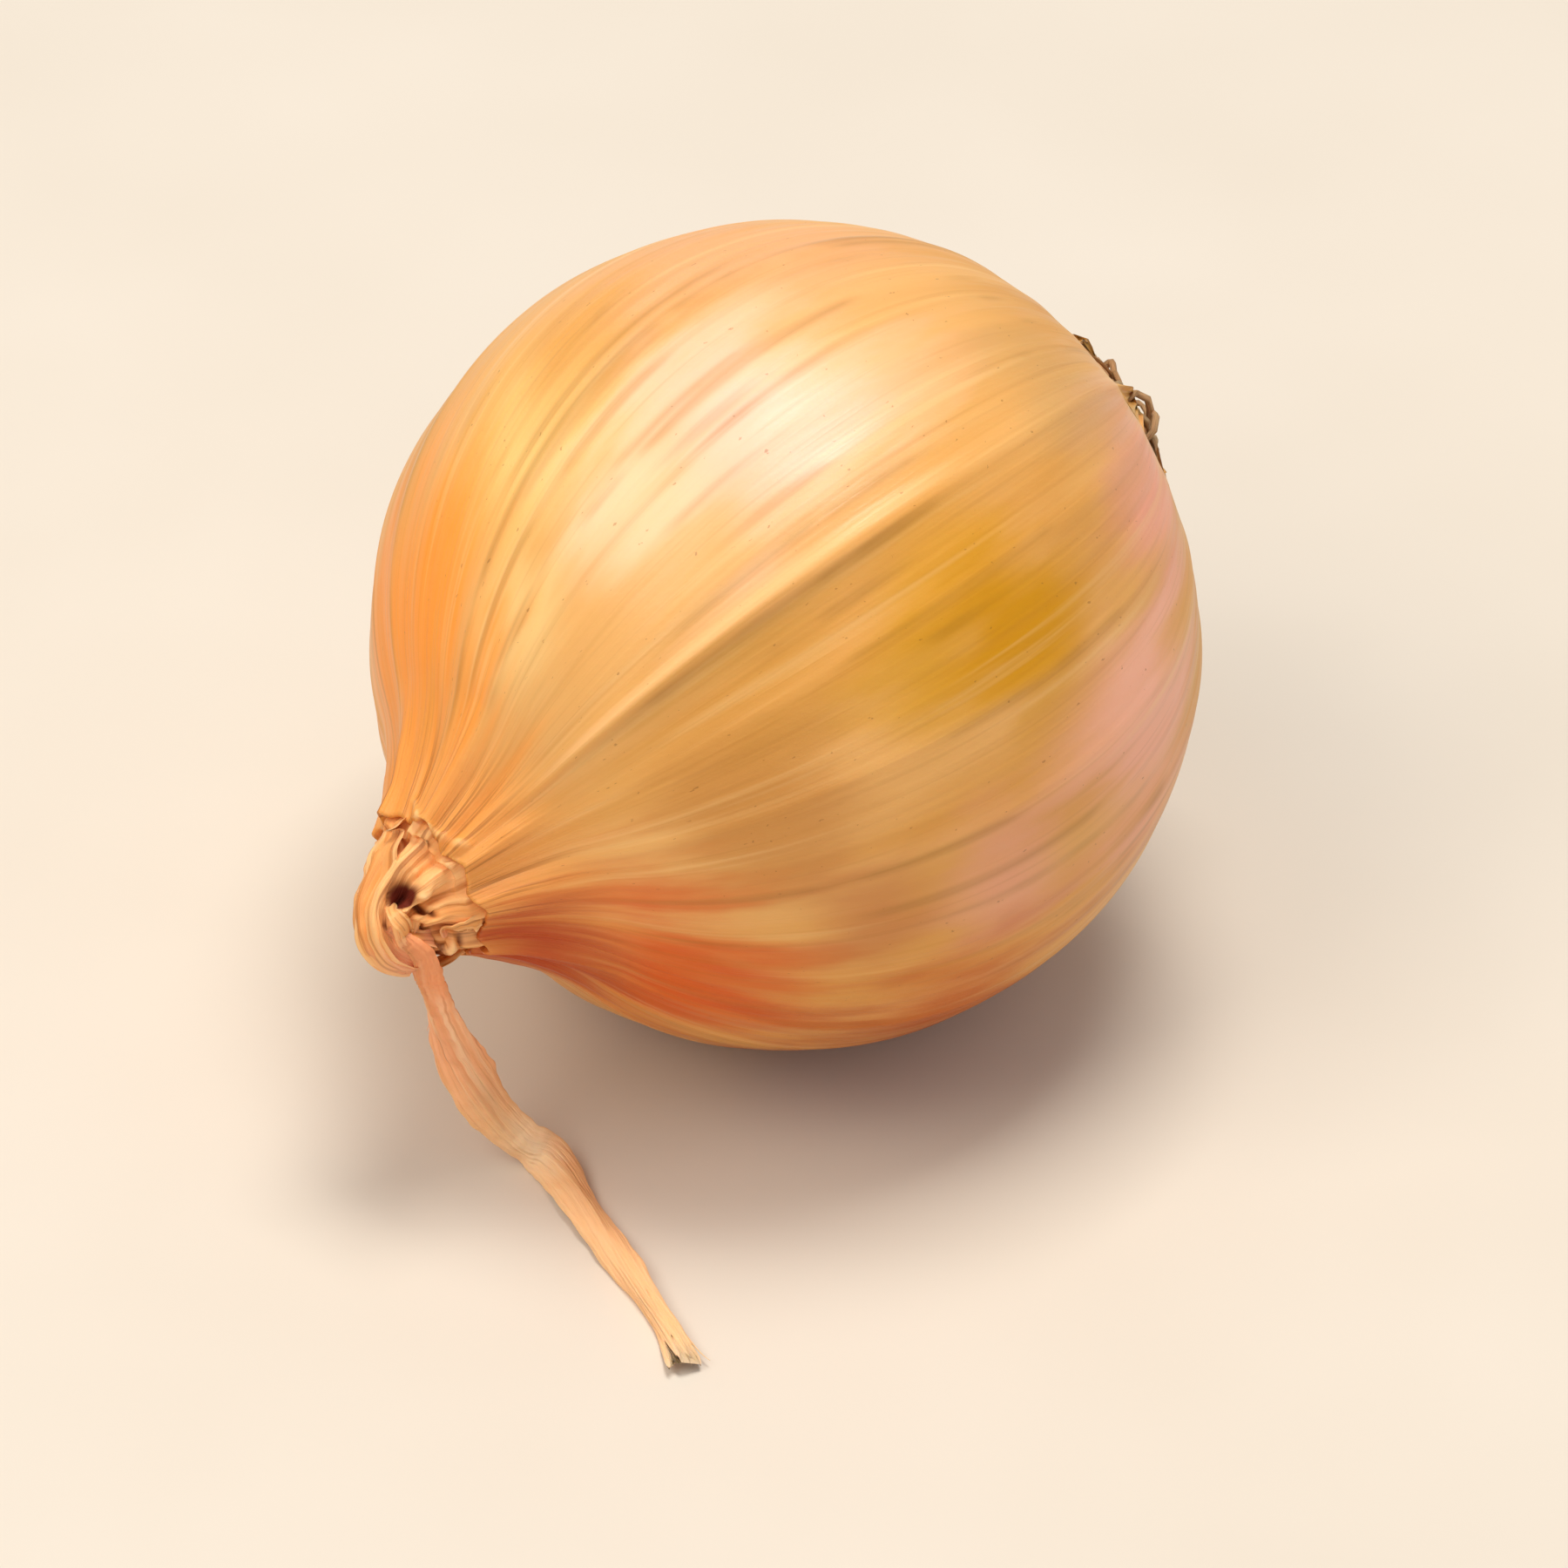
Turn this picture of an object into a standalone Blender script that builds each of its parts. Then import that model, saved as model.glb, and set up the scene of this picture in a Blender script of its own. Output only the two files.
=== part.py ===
"""A small golden onion, pulled and dried, lying on its side with its withered leaf trailing on the surface.

Units are metres and +Z is up. The origin is the middle of the small flat spot that the bulb rests on.
The neck points along -X and droops a little, the root end is at +X, and the leaf trails towards -Y.
"""

import math
import random

import bmesh
import bpy
from mathutils import Matrix, Quaternion, Vector

MM = 0.001
SEED = 26
CLEARANCE = 0.3 * MM

# The bulb is a globe whose shoulder runs into the neck by one hollow arc.
BULB_RADIUS = 26 * MM
REST_RADIUS = 4.5 * MM
NECK_DROOP = math.radians(9)
NECK_RADIUS = 2.2 * MM
SHOULDER_FILLET = 18 * MM
NECK_LENGTH = 28.2 * MM
DIMPLE_RADIUS = 5.8 * MM
DIMPLE_DEPTH = 1.3 * MM
BULB_COLUMNS = 90
GLOBE_ROWS = 21
FILLET_ROWS = 6

# The skin's raised veins run from neck to root with a slight twist, and the globe is a little lobed.
VEIN_COUNT = 22
VEIN_HEIGHT = 0.3 * MM
VEIN_HALF_WIDTH = math.radians(3.4)
VEIN_TWIST = math.radians(1.5)
STRONG_VEIN = math.radians(-36.8)
STRONG_VEIN_HEIGHT = 0.45 * MM
LOBES = 3
LOBE_HEIGHT = 0.25 * MM
PLEATS = 9
PLEAT_HEIGHT = 0.35 * MM
PLEATS_BEGIN = 0.9

# The dry neck is a bundle of pleats that bends over sharply, with a small hollow where the bend has split.
# Its route is in the bulb's own frame: up, sideways, and out along the neck, in millimetres.
NECK_ROUTE = (
    (0, 0, 28.5),
    (0, 0, 30.1),
    (0.3, 0.3, 31.8),
    (-0.1, 0.2, 33.4),
    (-1.3, -0.7, 33.9),
    (-2.4, -1.5, 33.0),
)
NECK_RADII = (5.6, 4.4, 3.1, 2.2, 1.8, 1.4)
NECK_PLEAT_SHARES = (0.05, 0.1, 0.15, 0.15, 0.12, 0.1)
HOLLOW_PLACE = 0.5
HOLLOW_LENGTH = 0.1
HOLLOW_ANGLE = math.radians(328)
HOLLOW_WIDTH = 0.45
HOLLOW_DEPTH = 0.5
NECK_COLUMNS = 54
NECK_ROWS = 14

# The withered leaf is a folded, twisted strip that drops to the surface and lies along it.
LEAF_ROUTE = (
    (-31.95, -1.8, 17.2),
    (-31.5, -2.2, 15.7),
    (-30.8, -2.6, 13.3),
    (-29.6, -2.9, 9.4),
    (-28.0, -3.5, 5.1),
    (-26.4, -4.5, 2.3),
    (-25.3, -6.5, 1.0),
    (-26.5, -11.1, 0.7),
    (-28.1, -16.3, 0.8),
    (-29.7, -21.7, 0.6),
    (-31.6, -26.5, 0.8),
)
LEAF_WIDTHS = (2.0, 2.6, 3.0, 3.6, 3.1, 2.9, 2.9, 2.4, 2.2, 1.5, 2.4)
LEAF_TURNS = (75, 62, 42, 10, -20, -5, 15, -10, 20, 35, -10)
LEAF_THICKNESS = 0.8 * MM
LEAF_FOLD = 0.45
LEAF_BROAD_SIDE = Vector((-0.745, 0.667, 0))
LEAF_COLUMNS = 12
LEAF_ROWS = 38

# The roots are short curly threads matted over a corky plate. Spreads are angles from the bulb's axis.
PLATE_RADIUS = 5.3 * MM
PLATE_FOOT_RADIUS = 4.3 * MM
PLATE_RISE = 1.1 * MM
PLATE_SIDES = 28
ROOTLET_COUNT = 38
ROOTLET_RADIUS = 0.45 * MM
ROOTLET_TAPER = 0.3
ROOTLET_INNER_SPREAD = (math.radians(1), math.radians(8))
ROOTLET_OUTER_SPREAD = (math.radians(5), math.radians(17))
ROOTLET_CURL = (0.4, 1.7)
ROOTLET_CREST = (1.4 * MM, 2.8 * MM)
ROOTLET_WAVE = math.radians(1.8)
ROOTLET_LEAST_HEIGHT = 1.35 * MM
ROOTLET_BENDS = 5
ROOTLET_ROWS = 6
ROOTLET_SIDES = 4
SLIVER = 0.005 * MM


def bulb_centre():
    """The middle of the globe, low enough for the flat spot to have its radius."""
    return Vector((0, 0, math.sqrt(BULB_RADIUS**2 - REST_RADIUS**2)))


def bulb_frame():
    """The matrix from the bulb's own frame, X up and Z out of the neck, to where the bulb lies."""
    up = Vector((-math.sin(NECK_DROOP), 0, math.cos(NECK_DROOP)))
    out = Vector((-math.cos(NECK_DROOP), 0, -math.sin(NECK_DROOP)))
    turn = Matrix((up, out.cross(up), out)).transposed()
    return Matrix.Translation(bulb_centre()) @ turn.to_4x4()


def clear_scene():
    for obj in list(bpy.data.objects):
        bpy.data.objects.remove(obj)


def make_collection(name):
    collection = bpy.data.collections.new(name)
    bpy.context.scene.collection.children.link(collection)
    return collection


def make_material(name, colour, roughness):
    material = bpy.data.materials.new(name)
    material.use_nodes = True
    shader = material.node_tree.nodes["Principled BSDF"]
    shader.inputs["Base Color"].default_value = (*colour, 1)
    shader.inputs["Roughness"].default_value = roughness
    shader.inputs["Metallic"].default_value = 0
    return material


def make_object(name, bm, collection, material=None):
    """A smooth object from a bmesh, which is freed."""
    mesh = bpy.data.meshes.new(name)
    bm.to_mesh(mesh)
    bm.free()
    mesh.shade_smooth()
    if material:
        mesh.materials.append(material)
    obj = bpy.data.objects.new(name, mesh)
    collection.objects.link(obj)
    return obj


def evaluated_mesh(obj):
    """The object's mesh with its modifiers applied."""
    graph = bpy.context.evaluated_depsgraph_get()
    return bpy.data.meshes.new_from_object(obj.evaluated_get(graph))


def along(values, share):
    """The value at a share, from 0 to 1, of a smooth curve through a list of numbers or vectors."""
    last = len(values) - 1
    place = min(max(share, 0), 1) * last
    i = min(int(place), last - 1)
    t = place - i
    a, b, c, d = (values[min(max(k, 0), last)] for k in range(i - 1, i + 3))
    return 0.5 * (2 * b + (c - a) * t + (2 * a - 5 * b + 4 * c - d) * t**2 + (3 * b - a - 3 * c + d) * t**3)


def heading(route, share):
    """The direction of a smooth route at a share of it."""
    step = 0.01
    return (along(route, share + step) - along(route, share - step)).normalized()


def carried_sides(route, rows, side):
    """A direction square to the route at each of its rows, carried along from the first without a twist."""
    sides = []
    for row in range(rows + 1):
        ahead = heading(route, row / rows)
        side = (side - ahead * side.dot(ahead)).normalized()
        sides.append(side)
    return sides


def grid_tube(rows, columns, place):
    """A closed tube, made of a grid whose points go to place(share of its length, angle round it)."""
    bm = bmesh.new()
    bmesh.ops.create_grid(bm, x_segments=rows, y_segments=columns, size=1)
    for vert in bm.verts:
        vert.co = place((vert.co.x + 1) / 2, math.pi * (vert.co.y + 1))
    bmesh.ops.remove_doubles(bm, verts=bm.verts, dist=1e-7)
    bmesh.ops.holes_fill(bm, edges=[edge for edge in bm.edges if edge.is_boundary])
    bmesh.ops.recalc_face_normals(bm, faces=bm.faces)
    return bm


def bulb_outline():
    """(radius, height) points from the middle of the neck's end, down the outside, to the root dimple."""
    fillet_radius = NECK_RADIUS + SHOULDER_FILLET
    fillet_height = math.sqrt((BULB_RADIUS + SHOULDER_FILLET) ** 2 - fillet_radius**2)
    first = math.asin((fillet_height - NECK_LENGTH) / SHOULDER_FILLET)
    last = math.atan2(fillet_height, fillet_radius)
    points = [(0, NECK_LENGTH)]
    for row in range(FILLET_ROWS):
        angle = first + (last - first) * row / FILLET_ROWS
        radius = fillet_radius - SHOULDER_FILLET * math.cos(angle)
        points.append((radius, fillet_height - SHOULDER_FILLET * math.sin(angle)))
    start = math.atan2(fillet_radius, fillet_height)
    end = math.pi - math.asin(DIMPLE_RADIUS / BULB_RADIUS)
    for row in range(GLOBE_ROWS + 1):
        angle = start + (end - start) * row / GLOBE_ROWS
        points.append((BULB_RADIUS * math.sin(angle), BULB_RADIUS * math.cos(angle)))
    floor = points[-1][1] + DIMPLE_DEPTH
    points.append((DIMPLE_RADIUS - CLEARANCE, floor))
    points.append((0, floor))
    return points


def turned_bulb(collection):
    """The bulb's plain form, turned about Z."""
    outline = bmesh.new()
    verts = [outline.verts.new((radius, 0, height)) for radius, height in bulb_outline()]
    for pair in zip(verts, verts[1:]):
        outline.edges.new(pair)
    obj = make_object("bulb_outline", outline, collection)
    screw = obj.modifiers.new("turn", "SCREW")
    screw.steps = screw.render_steps = BULB_COLUMNS
    screw.use_merge_vertices = True
    screw.merge_threshold = 1e-6
    bm = bmesh.new()
    bm.from_mesh(evaluated_mesh(obj))
    bpy.data.objects.remove(obj)
    return bm


def vein_list():
    """(angle, height) of each vein round the bulb at its widest."""
    draw = random.Random(SEED)
    spacing = math.tau / VEIN_COUNT
    veins = [(STRONG_VEIN, STRONG_VEIN_HEIGHT)]
    for i in range(1, VEIN_COUNT):
        angle = STRONG_VEIN + spacing * (i + draw.uniform(-0.25, 0.25))
        veins.append((angle, VEIN_HEIGHT * draw.uniform(0.5, 1)))
    return veins


def skin_relief(veins, angle, height):
    """How far the skin stands out at an angle round the bulb and a height along it."""
    level = height / BULB_RADIUS
    turn = angle - VEIN_TWIST * level
    fade = math.sqrt(max(1 - level**2, 0))
    relief = LOBE_HEIGHT * math.cos(LOBES * angle) * fade
    relief += PLEAT_HEIGHT * math.cos(PLEATS * angle) * max(level - PLEATS_BEGIN, 0) / (1 - PLEATS_BEGIN)
    for vein, top in veins:
        off = (turn - vein + math.pi) % math.tau - math.pi
        relief += top * fade * math.exp(-((off / VEIN_HALF_WIDTH) ** 2))
    return relief


def build_bulb(collection, material):
    bm = turned_bulb(collection)
    bm.normal_update()
    veins = vein_list()
    for vert in bm.verts:
        in_dimple = vert.co.z < 0 and math.hypot(vert.co.x, vert.co.y) < DIMPLE_RADIUS + CLEARANCE
        if not in_dimple:
            angle = math.atan2(vert.co.y, vert.co.x)
            vert.co += vert.normal * skin_relief(veins, angle, vert.co.z)
            vert.co.z = min(vert.co.z, NECK_LENGTH)
    bm.transform(bulb_frame())
    everything = bm.verts[:] + bm.edges[:] + bm.faces[:]
    bmesh.ops.bisect_plane(bm, geom=everything, dist=1e-6, plane_no=(0, 0, -1), clear_outer=True)
    bmesh.ops.holes_fill(bm, edges=[edge for edge in bm.edges if edge.is_boundary])
    bmesh.ops.recalc_face_normals(bm, faces=bm.faces)
    return make_object("bulb", bm, collection, material)


def build_neck(collection, material):
    route = [Vector(point) * MM for point in NECK_ROUTE]
    sides = carried_sides(route, NECK_ROWS, Vector((1, 0, 0)))
    frame = bulb_frame()

    def place(share, angle):
        side = sides[round(share * NECK_ROWS)]
        other = heading(route, share).cross(side)
        pleat = 1 + along(NECK_PLEAT_SHARES, share) * math.cos(PLEATS * angle)
        across = ((angle - HOLLOW_ANGLE + math.pi) % math.tau - math.pi) / HOLLOW_WIDTH
        down = (share - HOLLOW_PLACE) / HOLLOW_LENGTH
        hollow = HOLLOW_DEPTH * math.exp(-(across**2) - down**2)
        radius = along(NECK_RADII, share) * MM * pleat * (1 - hollow)
        spoke = side * math.cos(angle) + other * math.sin(angle)
        return frame @ (along(route, share) + spoke * radius)

    bm = grid_tube(NECK_ROWS, NECK_COLUMNS, place)
    return make_object("dry_neck", bm, collection, material)


def build_leaf(collection, material):
    route = [Vector(point) * MM for point in LEAF_ROUTE]

    def place(share, angle):
        ahead = heading(route, share)
        side = (LEAF_BROAD_SIDE - ahead * LEAF_BROAD_SIDE.dot(ahead)).normalized()
        side = Quaternion(ahead, math.radians(along(LEAF_TURNS, share))) @ side
        half = along(LEAF_WIDTHS, share) * MM / 2
        across = half * math.cos(angle)
        rise = LEAF_THICKNESS / 2 * math.sin(angle) + LEAF_FOLD * (abs(across) - half / 2)
        point = along(route, share) + side * across + ahead.cross(side) * rise
        return Vector((point.x, point.y, max(point.z, 0)))

    bm = grid_tube(LEAF_ROWS, LEAF_COLUMNS, place)
    return make_object("withered_leaf", bm, collection, material)


def root_point(angle, spread, height):
    """A point over the root end in the bulb's own frame: round it, out from its middle, above the globe."""
    reach = BULB_RADIUS + height
    flat = reach * math.sin(spread)
    return Vector((flat * math.cos(angle), flat * math.sin(angle), -reach * math.cos(spread)))


def build_plate():
    """The corky plate that sits in the root dimple and stands a little out of it."""
    floor = bulb_outline()[-1][1] - CLEARANCE
    depth = floor + BULB_RADIUS + PLATE_RISE
    bm = bmesh.new()
    bmesh.ops.create_cone(
        bm,
        cap_ends=True,
        segments=PLATE_SIDES,
        radius1=PLATE_FOOT_RADIUS,
        radius2=PLATE_RADIUS,
        depth=depth,
    )
    bmesh.ops.translate(bm, verts=bm.verts, vec=(0, 0, floor - depth / 2))
    bm.transform(bulb_frame())
    return bm


def rootlet_route(draw):
    """One curly thread's route in the bulb's own frame: from inside the plate, out and round."""
    start = draw.uniform(0, math.tau)
    inner = draw.uniform(*ROOTLET_INNER_SPREAD)
    outer = draw.uniform(*ROOTLET_OUTER_SPREAD)
    curl = draw.choice((-1, 1)) * draw.uniform(*ROOTLET_CURL)
    crest = draw.uniform(*ROOTLET_CREST)
    phase = draw.uniform(0, math.tau)
    route = [root_point(start, inner, PLATE_RISE / 2)]
    for step in range(1, ROOTLET_BENDS + 1):
        share = step / ROOTLET_BENDS
        wave = math.sin(phase + math.tau * share)
        spread = inner + (outer - inner) * share + ROOTLET_WAVE * share * wave
        height = crest * (math.sin(math.pi * share) + 0.25 * wave)
        route.append(root_point(start + curl * share, spread, max(height, ROOTLET_LEAST_HEIGHT)))
    return route


def build_rootlet(route):
    frame = bulb_frame()
    sides = carried_sides(route, ROOTLET_ROWS, heading(route, 0).orthogonal())

    def place(share, angle):
        side = sides[round(share * ROOTLET_ROWS)]
        other = heading(route, share).cross(side)
        spoke = side * math.cos(angle) + other * math.sin(angle)
        return frame @ (along(route, share) + spoke * ROOTLET_RADIUS * (1 - ROOTLET_TAPER * share))

    return grid_tube(ROOTLET_ROWS, ROOTLET_SIDES, place)


def outer_skin(mesh):
    """Keeps the largest run of joined faces, which fills any hollow that the threads sealed between them."""
    bm = bmesh.new()
    bm.from_mesh(mesh)
    bmesh.ops.remove_doubles(bm, verts=bm.verts, dist=SLIVER)
    bmesh.ops.dissolve_degenerate(bm, edges=bm.edges, dist=SLIVER)
    bmesh.ops.triangulate(bm, faces=bm.faces)
    left = set(bm.faces)
    runs = []
    while left:
        run = {left.pop()}
        edge_of_run = list(run)
        while edge_of_run:
            face = edge_of_run.pop()
            shared = [edge for edge in face.edges if edge.is_manifold]
            near = {other for edge in shared for other in edge.link_faces} & left
            left -= near
            run |= near
            edge_of_run.extend(near)
        runs.append(run)
    runs.sort(key=len)
    bmesh.ops.delete(bm, geom=[face for run in runs[:-1] for face in run], context="FACES")
    bm.to_mesh(mesh)
    bm.free()


def build_roots(collection, material):
    draw = random.Random(SEED)
    threads = make_collection("root_threads")
    for i in range(ROOTLET_COUNT):
        make_object(f"rootlet_{i}", build_rootlet(rootlet_route(draw)), threads)
    roots = make_object("root_tuft", build_plate(), collection, material)
    union = roots.modifiers.new("fuse", "BOOLEAN")
    union.operation = "UNION"
    union.operand_type = "COLLECTION"
    union.collection = threads
    fused = evaluated_mesh(roots)
    roots.modifiers.clear()
    roots.data = fused
    outer_skin(fused)
    for thread in list(threads.objects):
        bpy.data.objects.remove(thread)
    bpy.data.collections.remove(threads)
    return roots


def main():
    clear_scene()
    onion = make_collection("onion")
    skin = make_material("golden_skin", (0.78, 0.43, 0.11), 0.35)
    straw = make_material("dry_straw", (0.80, 0.45, 0.20), 0.7)
    leaf = make_material("withered_leaf", (0.83, 0.47, 0.25), 0.75)
    root = make_material("dry_root", (0.55, 0.30, 0.15), 0.9)
    build_bulb(onion, skin)
    build_neck(onion, straw)
    build_leaf(onion, leaf)
    build_roots(onion, root)


main()
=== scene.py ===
"""Dresses a small golden onion, pulled and dried, that lies on its side with its withered leaf trailing.

Sizes are in millimetres unless a name says otherwise. Every finished mesh is in metres, with +Z up.
The bulb's own frame has X up, Y sideways and Z out of the neck, which points along -X and droops a little.
A level is a height along that Z as a share of the bulb's radius: 0 at the widest, about 1.1 at the neck.
"""

import logging
import math
import random
from collections.abc import Callable, Iterable, Sequence
from dataclasses import dataclass, field
from enum import Enum

import bmesh
import bpy
import numpy as np
from bmesh.types import BMesh
from bpy.types import Material, Mesh, Node, NodeSocket, NodeTree
from mathutils import Matrix, Quaternion, Vector, noise


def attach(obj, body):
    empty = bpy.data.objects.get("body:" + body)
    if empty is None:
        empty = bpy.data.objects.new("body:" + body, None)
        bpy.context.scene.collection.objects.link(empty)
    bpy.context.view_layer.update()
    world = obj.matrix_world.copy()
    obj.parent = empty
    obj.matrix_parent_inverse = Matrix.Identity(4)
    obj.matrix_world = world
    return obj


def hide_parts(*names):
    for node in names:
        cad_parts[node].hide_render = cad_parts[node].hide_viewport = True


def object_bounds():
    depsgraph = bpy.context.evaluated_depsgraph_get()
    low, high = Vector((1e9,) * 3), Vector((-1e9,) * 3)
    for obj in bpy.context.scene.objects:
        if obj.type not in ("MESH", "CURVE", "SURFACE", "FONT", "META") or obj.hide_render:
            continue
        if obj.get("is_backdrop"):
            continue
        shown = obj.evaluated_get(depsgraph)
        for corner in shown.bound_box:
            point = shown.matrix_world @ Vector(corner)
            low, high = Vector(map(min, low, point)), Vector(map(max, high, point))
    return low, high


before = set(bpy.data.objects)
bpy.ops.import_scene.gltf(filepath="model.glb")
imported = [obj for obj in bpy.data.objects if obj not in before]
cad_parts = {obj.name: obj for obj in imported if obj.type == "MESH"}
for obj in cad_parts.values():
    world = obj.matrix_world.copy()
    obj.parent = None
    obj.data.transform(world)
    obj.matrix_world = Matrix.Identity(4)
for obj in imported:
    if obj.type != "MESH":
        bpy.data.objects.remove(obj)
CAD_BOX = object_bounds()

Pair = tuple[float, float]
Triple = tuple[float, float, float]
Row = tuple[float, ...]

LOG = logging.getLogger("onion")
BODY = "root"
MM = 0.001
SEED = 26
WELD = 1e-4

# The attributes that the finishes read. Grain is in millimetres: X and Y across the fibres, Z along them.
GRAIN = "grain"
# Mark holds real tones, such as darker vein crests and each root thread's tone, and also painted shade in
# creases and painted highlights on raised folds and along the strong ridge.
MARK_AND_SHADING = "mark"
# Deep marks where the torn outer skin leaves a paler layer bare, and also paints shade inside the neck's
# split and in the root tuft's gaps.
BARE_AND_SHADE = "bare_and_shade"
# Lee is painted shade in the strip just below the strong ridge.
RIDGE_SHADE = "ridge_shade"

# The colour sockets of a Mix node, which share their names with its other kinds of socket.
MIX_A, MIX_B, MIX_RESULT = 6, 7, 2


class Slot(Enum):
    """The record's material slots."""

    SKIN = "golden_skin"
    STRAW = "dry_straw"
    LEAF = "withered_leaf"
    ROOT = "dry_root"


def linear(colour: str) -> tuple[float, float, float, float]:
    """Turns an sRGB colour to linear.

    Args:
        colour: Six hex digits after a #.

    Returns:
        Red, green and blue, and an alpha of 1.
    """
    shares = (int(colour[i : i + 2], 16) / 255 for i in (1, 3, 5))
    red, green, blue = (c / 12.92 if c <= 0.04045 else ((c + 0.055) / 1.055) ** 2.4 for c in shares)
    return red, green, blue, 1.0


def add_node(tree: NodeTree, kind: str, inputs: dict | None = None, **settings: object) -> Node:
    """Adds a node with its settings and links.

    Args:
        tree: The material's node tree.
        kind: The node's type.
        inputs: A value, or another node's output, for each input by name or number.
        settings: The node's own properties.

    Returns:
        The new node.
    """
    node = tree.nodes.new(kind)
    for name, value in settings.items():
        setattr(node, name, value)
    for key, value in (inputs or {}).items():
        if isinstance(value, NodeSocket):
            tree.links.new(value, node.inputs[key])
        else:
            node.inputs[key].default_value = value
    return node


def read_attribute(tree: NodeTree, name: str, output: str) -> NodeSocket:
    """Adds a node that reads one of the mesh's attributes and returns one of its outputs."""
    return add_node(tree, "ShaderNodeAttribute", attribute_name=name).outputs[output]


def smooth_rise(tree: NodeTree, value: NodeSocket, low: float, high: float, most: float) -> NodeSocket:
    """Adds a smooth rise of a value, from 0 at low to most at high, and returns its output."""
    inputs = {"Value": value, "From Min": low, "From Max": high, "To Max": most}
    return add_node(tree, "ShaderNodeMapRange", inputs, interpolation_type="SMOOTHSTEP").outputs["Result"]


@dataclass(frozen=True)
class Streaks:
    """Noise drawn out along the fibres, as a mask that rises from 0 at low to most at high.

    Across and along are its size in millimetres.
    """

    across: float
    along: float
    low: float = 0.4
    high: float = 0.6
    most: float = 1.0
    detail: float = 3.0
    shift: float = 0.0

    def mask(self, tree: NodeTree) -> NodeSocket:
        """Adds the mask's nodes and returns their output."""
        grain = read_attribute(tree, GRAIN, "Vector")
        scale = (1 / self.across, 1 / self.across, 1 / self.along)
        inputs = {"Vector": grain, "Location": (self.shift,) * 3, "Scale": scale}
        place = add_node(tree, "ShaderNodeMapping", inputs)
        inputs = {"Vector": place.outputs["Vector"], "Scale": 1.0, "Detail": self.detail}
        pattern = add_node(tree, "ShaderNodeTexNoise", inputs)
        return smooth_rise(tree, pattern.outputs["Fac"], self.low, self.high, self.most)


@dataclass(frozen=True)
class Patch:
    """An area round a point of the scene with a ragged, soft edge, as a mask.

    Fray is how far streaks push its edge in. Edge is where it ends and where it is full. Both are shares of
    the radius.
    """

    centre: Triple
    radius: float
    most: float = 1.0
    ragged: Streaks = Streaks(across=4, along=14, low=0.3, high=0.7)
    fray: float = 0.5
    edge: Pair = (1.4, 0.4)

    def mask(self, tree: NodeTree) -> NodeSocket:
        """Adds the mask's nodes and returns their output."""
        place = add_node(tree, "ShaderNodeTexCoord").outputs["Object"]
        centre = Vector(self.centre) * MM
        away = add_node(tree, "ShaderNodeVectorMath", {0: place, 1: centre}, operation="DISTANCE")
        inputs = {0: self.ragged.mask(tree), 1: self.fray * self.radius * MM, 2: away.outputs["Value"]}
        frayed = add_node(tree, "ShaderNodeMath", inputs, operation="MULTIPLY_ADD").outputs["Value"]
        end, full = (share * self.radius * MM for share in self.edge)
        return smooth_rise(tree, frayed, end, full, self.most)


@dataclass(frozen=True)
class Stretch:
    """Everything past a place along the fibres, in millimetres, as a mask that is full at another place."""

    start: float
    full: float
    most: float = 1.0

    def mask(self, tree: NodeTree) -> NodeSocket:
        """Adds the mask's nodes and returns their output."""
        grain = add_node(tree, "ShaderNodeSeparateXYZ", {"Vector": read_attribute(tree, GRAIN, "Vector")})
        return smooth_rise(tree, grain.outputs["Z"], self.start, self.full, self.most)


@dataclass(frozen=True)
class Marked:
    """Where one of the mesh's own attributes is strong, as a mask."""

    attribute: str
    low: float = 0.0
    high: float = 1.0
    most: float = 1.0

    def mask(self, tree: NodeTree) -> NodeSocket:
        """Adds the mask's nodes and returns their output."""
        return smooth_rise(tree, read_attribute(tree, self.attribute, "Fac"), self.low, self.high, self.most)


Mask = Streaks | Patch | Stretch | Marked


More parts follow.
